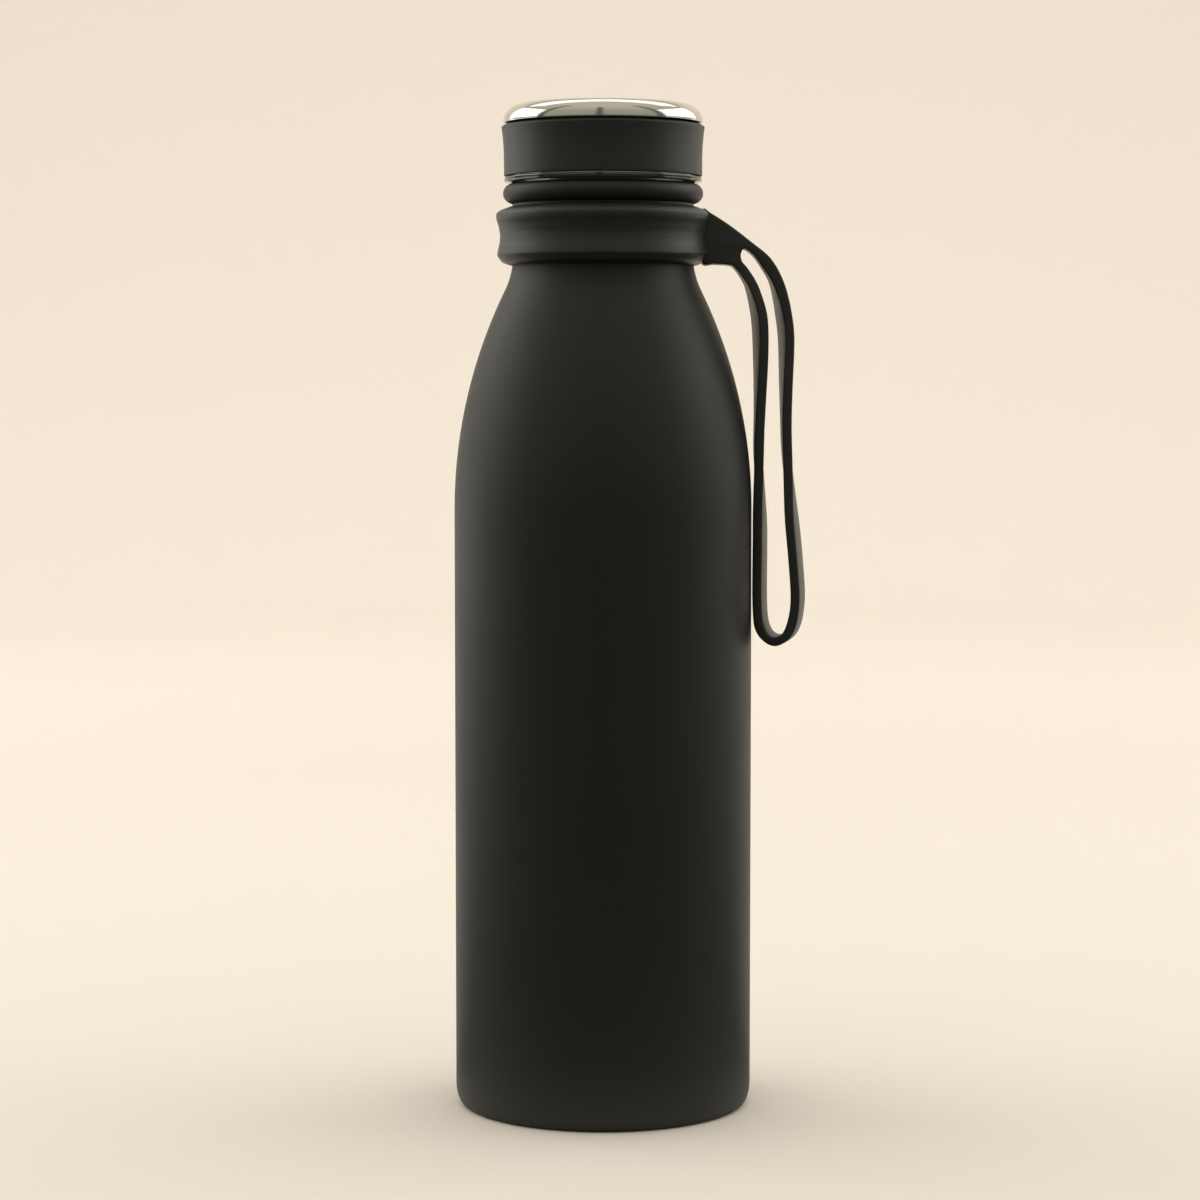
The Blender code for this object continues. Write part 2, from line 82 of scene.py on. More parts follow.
class Signal:
    """A shader socket that can stand in a Python expression."""

    def __init__(self, sheet: "Desk", socket: bpy.types.NodeSocket) -> None:
        """Keep the socket and the sheet that its maths is added to."""
        self.sheet = sheet
        self.socket = socket

    def _math(self, operation: str, first: object, second: object) -> "Signal":
        """Add one Math node.

        Args:
            operation: Name of the Math node's operation.
            first: Signal or number of the first input.
            second: Signal or number of the second input.

        Returns:
            The node's result.
        """
        node = self.sheet.node("ShaderNodeMath", {"operation": operation}, {0: first, 1: second})
        return Signal(self.sheet, node.outputs[0])

    def __add__(self, other: object) -> "Signal":
        """Sum."""
        return self._math("ADD", self, other)

    __radd__ = __add__

    def __sub__(self, other: object) -> "Signal":
        """Difference."""
        return self._math("SUBTRACT", self, other)

    def __rsub__(self, other: object) -> "Signal":
        """Difference, with the signal second."""
        return self._math("SUBTRACT", other, self)

    def __mul__(self, other: object) -> "Signal":
        """Product."""
        return self._math("MULTIPLY", self, other)

    __rmul__ = __mul__

    def __gt__(self, other: object) -> "Signal":
        """One where the signal is above the other value, else zero."""
        return self._math("GREATER_THAN", self, other)

    def __lt__(self, other: object) -> "Signal":
        """One where the signal is below the other value, else zero."""
        return self._math("LESS_THAN", self, other)


class Desk:
    """A shader node tree, with short ways to add to it."""

    def __init__(self, tree: bpy.types.NodeTree) -> None:
        """Keep the tree."""
        self.tree = tree

    def node(self, kind: str, settings: dict, inputs: dict) -> bpy.types.Node:
        """Add a node.

        Args:
            kind: The node's type name.
            settings: Attributes to set first, with a ramp's stops under "stops".
            inputs: Values, signals or sockets by input name or number.

        Returns:
            The new node.
        """
        node = self.tree.nodes.new(kind)
        for key, value in settings.items():
            if key == "stops":
                self._set_stops(node.color_ramp, value)
            else:
                setattr(node, key, value)
        for key, value in inputs.items():
            self.feed(node.inputs[key], value)
        return node

    @staticmethod
    def _set_stops(ramp: bpy.types.ColorRamp, stops: list[tuple[float, float]]) -> None:
        """Give a ramp grey stops.

        Args:
            ramp: The ramp, which starts with two stops.
            stops: Place and grey of each stop.
        """
        while len(ramp.elements) < len(stops):
            ramp.elements.new(1.0)
        for element, (place, grey) in zip(ramp.elements, stops):
            element.position = place
            element.color = (grey, grey, grey, 1.0)

    def feed(self, socket: bpy.types.NodeSocket, value: object) -> None:
        """Link a signal or a socket into an input, or set its value.

        Args:
            socket: The input.
            value: Signal, socket, colour or number to feed it with.
        """
        if isinstance(value, Signal):
            self.tree.links.new(value.socket, socket)
        elif isinstance(value, bpy.types.NodeSocket):
            self.tree.links.new(value, socket)
        elif isinstance(value, tuple) and len(value) == 3 and socket.type == "RGBA":
            socket.default_value = (*value, 1.0)
        else:
            socket.default_value = value

    def mix(self, share: Signal, first: object, second: object) -> bpy.types.NodeSocket:
        """Mix two colours by a signal.

        Args:
            share: How much of the second colour shows, from 0 to 1.
            first: Colour or socket where the share is 0.
            second: Colour or socket where the share is 1.

        Returns:
            The mixed colour.
        """
        node = self.node("ShaderNodeMix", {"data_type": "RGBA"}, {0: share, 6: first, 7: second})
        return node.outputs[2]

    def ramp(self, signal: Signal, stops: list[tuple[float, float]]) -> Signal:
        """Bend a signal through a ramp.

        Args:
            signal: What is bent.
            stops: Place and grey of each stop.

        Returns:
            The bent signal.
        """
        node = self.node("ShaderNodeValToRGB", {"stops": stops}, {"Fac": signal})
        return Signal(self, node.outputs["Color"])


class Sheet(Desk):
    """A material with its Principled shader."""

    def __init__(self, name: str) -> None:
        """Start a material that has only its Principled shader and its output.

        Args:
            name: The material's name.
        """
        self.material = bpy.data.materials.new(name)
        self.material.use_nodes = True
        super().__init__(self.material.node_tree)
        self.shader = self.tree.nodes["Principled BSDF"]

    def place(self) -> bpy.types.NodeSocket:
        """Object coordinates, in metres."""
        return self.node("ShaderNodeTexCoord", {}, {}).outputs["Object"]

    def stretched(self, x: float, y: float, z: float) -> bpy.types.NodeSocket:
        """Object coordinates scaled along each axis.

        Args:
            x: Factor along X.
            y: Factor along Y.
            z: Factor along Z.

        Returns:
            The scaled coordinates.
        """
        mapped = self.node(
            "ShaderNodeMapping", {}, {"Vector": self.place(), "Scale": Vector((x, y, z))}
        )
        return mapped.outputs["Vector"]

    def noise(self, grain: float, detail: float = 2.0, where: object = None) -> Signal:
        """Soft noise.

        Args:
            grain: Size of the noise's features, in metres.
            detail: Octaves.
            where: Coordinates, or None for Object coordinates.

        Returns:
            The noise, from 0 to 1.
        """
        node = self.node(
            "ShaderNodeTexNoise",
            {},
            {"Vector": where or self.place(), "Scale": 1.0 / grain, "Detail": detail},
        )
        return Signal(self, node.outputs["Fac"])

    def specks(self, spacing: float, size: float, share: float) -> Signal:
        """Small round specks scattered over the surface.

        Args:
            spacing: Size of the cells that may hold a speck, in metres.
            size: Radius of a speck as a share of the spacing.
            share: How many of the cells hold one, from 0 to 1.

        Returns:
            One on a speck and zero elsewhere.
        """
        cells = self.node(
            "ShaderNodeTexVoronoi", {}, {"Vector": self.place(), "Scale": 1.0 / spacing}
        )
        chance = self.node(
            "ShaderNodeSeparateColor", {}, {"Color": cells.outputs["Color"]}
        ).outputs[0]
        near = Signal(self, cells.outputs["Distance"]) < size
        return near * (Signal(self, chance) > 1.0 - share)

    def relief(self, height: Signal, depth: float, strength: float = 1.0) -> None:
        """Feed the shader's normal from a height signal.

        Args:
            height: The relief, from 0 to 1.
            depth: Height in metres that a change of 1 stands for.
            strength: Share of the relief that is seen.
        """
        bump = self.node(
            "ShaderNodeBump", {}, {"Height": height, "Distance": depth, "Strength": strength}
        )
        self.feed(self.shader.inputs["Normal"], bump.outputs["Normal"])

    def set(self, **values: object) -> None:
        """Set or feed the shader's inputs.

        Args:
            **values: Value by the input's name, with underscores for its spaces.
        """
        for key, value in values.items():
            self.feed(self.shader.inputs[key.replace("_", " ")], value)


# ---------------------------------------------------------------- finishes


@dataclass(frozen=True)
class PowderCoat:
    """Matte black coat, baked from powder: fine grain, faint dust and uneven sheen."""

    name: str = "powder_coat"
    base: Colour = (0.0215, 0.0221, 0.0196)
    pale: Colour = (0.0265, 0.0272, 0.0243)
    dust: Colour = (0.070, 0.070, 0.062)
    roughness: float = 0.50
    grain: float = 0.22 * MM
    peel: float = 1.4 * MM

    def make(self) -> bpy.types.Material:
        """Build the material.

        Returns:
            The finished material.
        """
        sheet = Sheet(self.name)
        grain = sheet.noise(self.grain, 2.0)
        peel = sheet.noise(self.peel, 1.0)
        cloud = sheet.noise(28 * MM, 3.0)
        dust = sheet.specks(2.6 * MM, 0.035, 0.05)
        tone = sheet.mix(cloud * 0.6 + grain * 0.4, self.base, self.pale)
        sheet.set(
            Base_Color=sheet.mix(dust, tone, self.dust),
            Roughness=self.roughness + (cloud - 0.5) * 0.10 + (grain - 0.5) * 0.08,
            Specular_IOR_Level=0.3,
        )
        sheet.relief(grain * 0.65 + peel * 0.5, 0.035 * MM, 0.7)
        return sheet.material


@dataclass(frozen=True)
class Silicone:
    """Soft moulded silicone with a fine eroded texture and a little lint."""

    name: str
    base: Colour
    lint: Colour
    roughness: float = 0.46
    grain: float = 0.12 * MM

    def make(self) -> bpy.types.Material:
        """Build the material.

        Returns:
            The finished material.
        """
        sheet = Sheet(self.name)
        grain = sheet.noise(self.grain, 2.0)
        cloud = sheet.noise(9 * MM, 3.0)
        flow = sheet.noise(3.2 * MM, 2.0)
        lint = sheet.specks(1.9 * MM, 0.05, 0.06)
        tone = sheet.mix(cloud * 0.8, self.base, tuple(1.35 * c for c in self.base))
        sheet.set(
            Base_Color=sheet.mix(lint, tone, self.lint),
            Roughness=self.roughness + (cloud - 0.5) * 0.12 + (grain - 0.5) * 0.06,
            Specular_IOR_Level=0.5,
        )
        sheet.relief(grain * 0.5 + flow * 0.6, 0.028 * MM, 0.7)
        return sheet.material


@dataclass(frozen=True)
class TurnedSteel:
    """Stainless steel polished or brushed on a lathe, so its lines run round Z."""

    name: str
    base: Colour
    roughness: float
    line: float
    depth: float

    def make(self) -> bpy.types.Material:
        """Build the material.

        Returns:
            The finished material.
        """
        sheet = Sheet(self.name)
        around = sheet.stretched(0.06, 0.06, 1.0)
        lines = sheet.noise(self.line, 3.0, around)
        fine = sheet.noise(self.line * 0.35, 2.0, around)
        smear = sheet.noise(7 * MM, 3.0)
        tint = sheet.mix(lines * 0.5 + smear * 0.5, self.base, tuple(0.86 * c for c in self.base))
        sheet.set(
            Base_Color=tint,
            Metallic=1.0,
            Roughness=self.roughness + (smear - 0.5) * 0.10 + (lines - 0.5) * 0.06,
        )
        sheet.relief(lines * 0.6 + fine * 0.4, self.depth, 0.6)
        return sheet.material


@dataclass(frozen=True)
class FlatSteel:
    """Steel disc faced on a lathe: fine rings about its centre."""

    name: str = "faced_steel"
    base: Colour = (0.52, 0.51, 0.49)
    roughness: float = 0.34
    ring: float = 0.45 * MM

    def make(self) -> bpy.types.Material:
        """Build the material.

        Returns:
            The finished material.
        """
        sheet = Sheet(self.name)
        flat = sheet.stretched(1.0, 1.0, 0.0)
        wave = sheet.node(
            "ShaderNodeTexWave",
            {"wave_type": "RINGS", "rings_direction": "SPHERICAL"},
            {"Vector": flat, "Scale": 0.157 / self.ring, "Distortion": 0.4, "Detail": 2.0},
        )
        rings = Signal(sheet, wave.outputs["Fac"])
        smear = sheet.noise(6 * MM, 3.0)
        tint = sheet.mix(smear * 0.7 + rings * 0.3, self.base, tuple(0.84 * c for c in self.base))
        sheet.set(
            Base_Color=tint, Metallic=1.0, Roughness=self.roughness + (smear - 0.5) * 0.14
        )
        sheet.relief(rings * 0.7 + smear * 0.3, 0.02 * MM, 0.6)
        return sheet.material


@dataclass(frozen=True)
class Moulded:
    """Moulded plastic, foam or solder glass: a mottled colour and a fine texture."""

    name: str
    base: Colour
    roughness: float
    grain: float
    depth: float

    def make(self) -> bpy.types.Material:
        """Build the material.

        Returns:
            The finished material.
        """
        sheet = Sheet(self.name)
        grain = sheet.noise(self.grain, 3.0)
        cloud = sheet.noise(5 * MM, 3.0)
        tone = sheet.mix(cloud * 0.7 + grain * 0.3, self.base, tuple(0.78 * c for c in self.base))
        sheet.set(Base_Color=tone, Roughness=self.roughness + (cloud - 0.5) * 0.15)
        sheet.relief(grain, self.depth, 0.7)
        return sheet.material


@dataclass(frozen=True)
class CrinkledFoil:
    """Thin copper foil, creased where it was wrapped."""

    name: str = "copper_foil"
    base: Colour = (0.80, 0.45, 0.30)

    def make(self) -> bpy.types.Material:
        """Build the material.

        Returns:
            The finished material.
        """
        sheet = Sheet(self.name)
        creases = sheet.noise(4 * MM, 4.0)
        cloud = sheet.noise(14 * MM, 3.0)
        tint = sheet.mix(cloud, self.base, tuple(0.75 * c for c in self.base))
        sheet.set(Base_Color=tint, Metallic=1.0, Roughness=0.24 + creases * 0.14)
        sheet.relief(creases, 0.4 * MM, 0.5)
        return sheet.material


class Finish(Enum):
    """The bottle's finishes."""

    COAT = PowderCoat()
    SILICONE = Silicone("black_silicone", (0.0250, 0.0252, 0.0222), (0.10, 0.10, 0.09))
    SEAL = Silicone("white_silicone", (0.66, 0.66, 0.64), (0.50, 0.50, 0.48), 0.48)
    POLISHED = TurnedSteel("polished_steel", (0.78, 0.755, 0.71), 0.12, 0.9 * MM, 0.010 * MM)
    SATIN = TurnedSteel("satin_steel", (0.58, 0.57, 0.55), 0.30, 0.5 * MM, 0.020 * MM)
    # Steel of the lid's rolled edge with a dark base colour: painted shade for the dark reflection under
    # the grip band
    PAINTED_SHADE_STEEL = TurnedSteel("steel_with_painted_shade", (0.13, 0.13, 0.12), 0.14, 0.9 * MM, 0.010 * MM)
    FACED = FlatSteel()
    PLASTIC = Moulded("grey_plastic", (0.075, 0.075, 0.078), 0.46, 0.18 * MM, 0.03 * MM)
    FOAM = Moulded("pale_foam", (0.75, 0.72, 0.62), 0.90, 0.5 * MM, 0.20 * MM)
    GLASS = Moulded("solder_glass", (0.10, 0.11, 0.10), 0.18, 0.6 * MM, 0.02 * MM)
    FOIL = CrinkledFoil()


class Wardrobe:
    """Makes each finish once and hands it out."""

    def __init__(self) -> None:
        """Start with nothing made."""
        self._made: dict[Finish, bpy.types.Material] = {}

    def get(self, finish: Finish) -> bpy.types.Material:
        """Hand out a finish, made the first time it is asked for.

        Args:
            finish: Which finish.

        Returns:
            Its material.
        """
        if finish not in self._made:
            self._made[finish] = finish.value.make()
        return self._made[finish]


# ---------------------------------------------------------------- geometry nodes


class NodeRecipe:
    """A Geometry Nodes tree with named inputs, and the way to run it on a mesh."""

    def __init__(self, name: str, inputs: list[tuple[str, str]]) -> None:
        """Start the tree.

        Args:
            name: The tree's name.
            inputs: Name and socket type of each input after the geometry.
        """
        self.tree = bpy.data.node_groups.new(name, "GeometryNodeTree")
        face = self.tree.interface
        face.new_socket("Geometry", in_out="INPUT", socket_type="NodeSocketGeometry")
        for label, kind in inputs:
            face.new_socket(label, in_out="INPUT", socket_type=kind)
        face.new_socket("Geometry", in_out="OUTPUT", socket_type="NodeSocketGeometry")
        self.start = self.tree.nodes.new("NodeGroupInput")
        self.end = self.tree.nodes.new("NodeGroupOutput")

    def add(self, kind: str, settings: dict, inputs: dict) -> bpy.types.Node:
        """Add a node.

        Args:
            kind: The node's type name.
            settings: Attributes to set first.
            inputs: Values or sockets by input name or number.

        Returns:
            The new node.
        """
        node = self.tree.nodes.new(kind)
        for key, value in settings.items():
            setattr(node, key, value)
        for key, value in inputs.items():
            if isinstance(value, bpy.types.NodeSocket):
                self.tree.links.new(value, node.inputs[key])
            else:
                node.inputs[key].default_value = value
        return node

    def finish(self, geometry: bpy.types.NodeSocket) -> None:
        """Realise instances, set the material and end the tree.

        Args:
            geometry: What the tree made.
        """
        real = self.add("GeometryNodeRealizeInstances", {}, {0: geometry})
        smooth = self.add("GeometryNodeSetShadeSmooth", {}, {0: real.outputs[0]})
        coat = self.add(
            "GeometryNodeSetMaterial",
            {},
            {0: smooth.outputs[0], "Material": self.start.outputs["Material"]},
        )
        self.tree.links.new(coat.outputs[0], self.end.inputs[0])

    def run(self, name: str, mesh: bpy.types.Mesh, values: dict[str, object]) -> bpy.types.Mesh:
        """Run the tree on a mesh.

        Args:
            name: Name of the result.
            mesh: What the tree starts from.
            values: Value of each named input.

        Returns:
            The evaluated mesh.
        """
        obj = bpy.data.objects.new(name + "_recipe", mesh)
        bpy.context.scene.collection.objects.link(obj)
        modifier = obj.modifiers.new("recipe", "NODES")
        modifier.node_group = self.tree
        for item in self.tree.interface.items_tree:
            if item.in_out == "INPUT" and item.name in values:
                modifier[item.identifier] = values[item.name]
        bpy.context.view_layer.update()
        graph = bpy.context.evaluated_depsgraph_get()
        result = bpy.data.meshes.new_from_object(obj.evaluated_get(graph))
        bpy.data.objects.remove(obj, do_unlink=True)
        result.name = name
        return result


class Lathe(NodeRecipe):
    """Turns a profile of (radius, height) points about Z."""

    HUB = 1.0 * MM                   # radius of the circle that the profile is swept along

    def __init__(self) -> None:
        """Build the tree: the profile is swept along a circle, and its doubles are merged."""
        super().__init__(
            "turned_piece", [("Segments", "NodeSocketInt"), ("Material", "NodeSocketMaterial")]
        )
        profile = self.add("GeometryNodeMeshToCurve", {}, {0: self.start.outputs["Geometry"]})
        circle = self.add(
            "GeometryNodeCurvePrimitiveCircle",
            {},
            {"Resolution": self.start.outputs["Segments"], "Radius": self.HUB},
        )
        sweep = self.add(
            "GeometryNodeCurveToMesh",
            {},
            {"Curve": circle.outputs[0], "Profile Curve": profile.outputs[0]},
        )
        merged = self.add(
            "GeometryNodeMergeByDistance", {}, {0: sweep.outputs[0], "Distance": 0.002 * MM}
        )
        self.finish(merged.outputs[0])

    def turn(
        self,
        name: str,
        profile: list[Point],
        material: bpy.types.Material,
        ring: bool = False,
        segments: int = 144,
    ) -> bpy.types.Mesh:
        """Turn a profile that runs up any inner side and down the outer side.

        Args:
            name: Name of the piece.
            profile: Radius and height of each point.
            material: The piece's finish.
            ring: Whether the profile is closed, or else starts and ends on the axis.
            segments: Faces around the piece.

        Returns:
            The turned mesh.
        """
        edges = [(k, k + 1) for k in range(len(profile) - 1)]
        if ring:
            edges.append((len(profile) - 1, 0))
        mesh = bpy.data.meshes.new(name + "_profile")
        mesh.from_pydata([(r - self.HUB, -z, 0.0) for r, z in profile], edges, [])
        return self.run(name, mesh, {"Segments": segments, "Material": material})


class ThreadMill(NodeRecipe):
    """Lays the starts of a screw thread along a helix, one ridge turned to each start."""

    def __init__(self) -> None:
        """Build the tree: a ridge's section is swept along a helix and repeated about Z."""
        sockets = [
            ("Radius", "NodeSocketFloat"),
            ("Turns", "NodeSocketFloat"),
            ("Rise", "NodeSocketFloat"),
            ("Base", "NodeSocketFloat"),
            ("Starts", "NodeSocketInt"),
            ("Material", "NodeSocketMaterial"),
        ]
        super().__init__("thread_ridges", sockets)
        given = self.start.outputs
        section = self.add("GeometryNodeMeshToCurve", {}, {0: given["Geometry"]})
        helix = self.add(
            "GeometryNodeCurveSpiral",
            {},
            {
                "Resolution": 96,
                "Rotations": given["Turns"],
                "Start Radius": given["Radius"],
                "End Radius": given["Radius"],
                "Height": given["Rise"],
            },
        )
        stood = self.add(
            "GeometryNodeSetCurveNormal", {"mode": "Z_UP"}, {"Curve": helix.outputs[0]}
        )
        ridge = self.add(
            "GeometryNodeCurveToMesh",
            {},
            {
                "Curve": stood.outputs[0],
                "Profile Curve": section.outputs[0],
                "Fill Caps": True,
            },
        )
        posts = self.add(
            "GeometryNodeMeshLine", {"mode": "OFFSET"}, {"Count": given["Starts"]}
        )
        lift = self.add("ShaderNodeCombineXYZ", {}, {"Z": given["Base"]})
        stacked = self.add(
            "GeometryNodeSetPosition",
            {},
            {"Geometry": posts.outputs[0], "Position": lift.outputs[0]},
        )
        index = self.add("GeometryNodeInputIndex", {}, {})
        step = self.add(
            "ShaderNodeMath", {"operation": "DIVIDE"}, {0: 2 * pi, 1: given["Starts"]}
        )
        angle = self.add(
            "ShaderNodeMath", {"operation": "MULTIPLY"}, {0: index.outputs[0], 1: step.outputs[0]}
        )
        about = self.add("ShaderNodeCombineXYZ", {}, {"Z": angle.outputs[0]})
        turned = self.add("FunctionNodeEulerToRotation", {}, {0: about.outputs[0]})
        ridges = self.add(
            "GeometryNodeInstanceOnPoints",
            {},
            {
                "Points": stacked.outputs[0],
                "Instance": ridge.outputs[0],
                "Rotation": turned.outputs[0],
            },
        )
        self.finish(ridges.outputs[0])

    def mill(
        self,
        name: str,
        wall_r: float,
        crest_r: float,
        base: float,
        thread: "ScrewThread",
        material: bpy.types.Material,
    ) -> bpy.types.Mesh:
        """Cut a thread's ridges.

        Args:
            name: Name of the result.
            wall_r: Radius of the wall that the ridges stand on.
            crest_r: Radius of the ridges' crests.
            base: Height of the first ridge's centre.
            thread: The thread's sizes.
            material: The finish.

        Returns:
            The ridges' mesh.
        """
        half, crest, soft = thread.root / 2, thread.crest / 2, thread.soft
        way = 1.0 if crest_r > wall_r else -1.0
        rise = abs(crest_r - wall_r)
        outline = [(-0.3 * MM, half), (0.0, half)]
        outline += [(rise - soft, crest + 0.6 * soft), (rise, crest - 0.3 * soft)]
        outline += [(x, -z) for x, z in reversed(outline)]
        mesh = bpy.data.meshes.new(name + "_section")
        ends = [(k, (k + 1) % len(outline)) for k in range(len(outline))]
        mesh.from_pydata([(way * x, z, 0.0) for x, z in outline], ends, [])
        values = {
            "Radius": wall_r,
            "Turns": thread.turns,
            "Rise": thread.lead * thread.turns,
            "Base": base,
            "Starts": thread.starts,
            "Material": material,
        }
        return self.run(name, mesh, values)


@dataclass(frozen=True)
class ScrewThread:
    """Sizes of the screw thread that the neck and the lid share."""

    lead: float = 6.0 * MM
    starts: int = 2
    turns: float = 0.95
    root: float = 1.3 * MM
    crest: float = 0.5 * MM
    soft: float = 0.18 * MM
    first: float = 2.6 * MM


# ---------------------------------------------------------------- small helpers


def arc(cx: float, cz: float, rx: float, a0: float, a1: float, n: int, rz: float = 0.0) -> list[Point]:
    """Points of an arc.

    Args:
        cx: Centre's radius from the axis.
        cz: Centre's height.
        rx: Radius of the arc.
        a0: First angle in degrees.
        a1: Last angle in degrees.
        n: Number of steps.
        rz: Radius along Z, where the arc is an ellipse.

    Returns:
        The points from the first angle to the last.
    """
    rz = rz or rx
    angles = [radians(a0 + (a1 - a0) * k / n) for k in range(n + 1)]
    return [(cx + rx * cos(a), cz + rz * sin(a)) for a in angles]


def rounded(points: list[Point], radii: list[float], n: int = 4) -> list[Point]:
    """Round the corners of a profile.

    Args:
        points: Corners in order.
        radii: How far each corner is cut back, zero for a sharp one.
        n: Steps in each rounded corner.

    Returns:
        The profile with its corners rounded.
    """
    out: list[Point] = []
    last = len(points) - 1
    for k, (point, radius) in enumerate(zip(points, radii)):
        if radius <= 0.0 or k in (0, last):
            out.append(point)
            continue
        here = Vector(point)
        before = (Vector(points[k - 1]) - here).normalized() * radius
        after = (Vector(points[k + 1]) - here).normalized() * radius
        for step in range(n + 1):
            t = step / n
            spot = here + before * (1 - t) ** 2 + after * t**2
            out.append((spot.x, spot.y))
    return out


def smooth_through(points: list[Point], steps: int) -> list[Point]:
    """Closed smooth curve through points.

    Args:
        points: The points in order.
        steps: Steps between each two of them.

    Returns:
        The curve's points.
    """
    out: list[Point] = []
    count = len(points)
    for k in range(count):
        a, b, c, d = (Vector(points[(k + j) % count]) for j in (-1, 0, 1, 2))
        for step in range(steps):
            t = step / steps
            spot = 0.5 * (
                2 * b + (c - a) * t + (2 * a - 5 * b + 4 * c - d) * t**2
                + (3 * b - a - 3 * c + d) * t**3
            )
            out.append((spot.x, spot.y))
    return out


def dressed(
    name: str, mesh: bpy.types.Mesh, body: str, nodes: tuple[str, ...], sharp: float = 32.0
) -> bpy.types.Object:
    """Stand a finished mesh in for CAD nodes.

    Args:
        name: Name of the piece.
        mesh: Its mesh, in place.
        body: The CAD body that it rides on, or nothing to leave it unattached.
        nodes: The CAD nodes that it replaces.
        sharp: Edges at a steeper angle in degrees stay sharp.

    Returns:
        The piece's object.
    """
    mesh.set_sharp_from_angle(angle=radians(sharp))
    obj = bpy.data.objects.new(name, mesh)
    bpy.context.scene.collection.objects.link(obj)
    if body:
        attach(obj, body)
    if nodes:
        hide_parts(*nodes)
    LOG.info("%s: %d faces", name, len(mesh.polygons))
    return obj


def merged(first: bpy.types.Mesh, second: bpy.types.Mesh) -> bpy.types.Mesh:
    """Join two meshes that share one material.

    Args:
        first: The mesh that takes up the other's faces.
        second: The other mesh.

    Returns:
        The first mesh.
    """
    bm = bmesh.new()
    bm.from_mesh(first)
    bm.from_mesh(second)
    bm.to_mesh(first)
    bm.free()
    return first


@dataclass(frozen=True)
class Landmarks:
    """Radii and heights read from the frame."""

    body_r: float
    neck_top: float
    collar_low: float
    collar_top: float
    collar_r: float
    lid_low: float
    lid_top: float
    mouth_top: float
    band_low: float
    band_top: float
    seat_r: float
    core_r: float
    leg_x: float

    @classmethod
    def read(cls) -> "Landmarks":
        """Read them from the CAD nodes' boxes.

        Returns:
            The landmarks.
        """
        shell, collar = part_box("outer_shell"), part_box("strap_collar")
        cover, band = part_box("lid_cover"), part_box("grip_band")
        return cls(
            body_r=shell[1].y,
            neck_top=shell[1].z,
            collar_low=collar[0].z,
            collar_top=collar[1].z,
            collar_r=collar[1].y - 0.5 * MM,
            lid_low=cover[0].z,
            lid_top=cover[1].z,
            mouth_top=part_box("neck_finish")[1].z,
            band_low=band[0].z,
            band_top=band[1].z,
            seat_r=band[1].y - 1.9 * MM,
            core_r=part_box("lid_core")[1].y,
            leg_x=shell[1].y + 2.6 * MM,
        )


# ---------------------------------------------------------------- the bottle


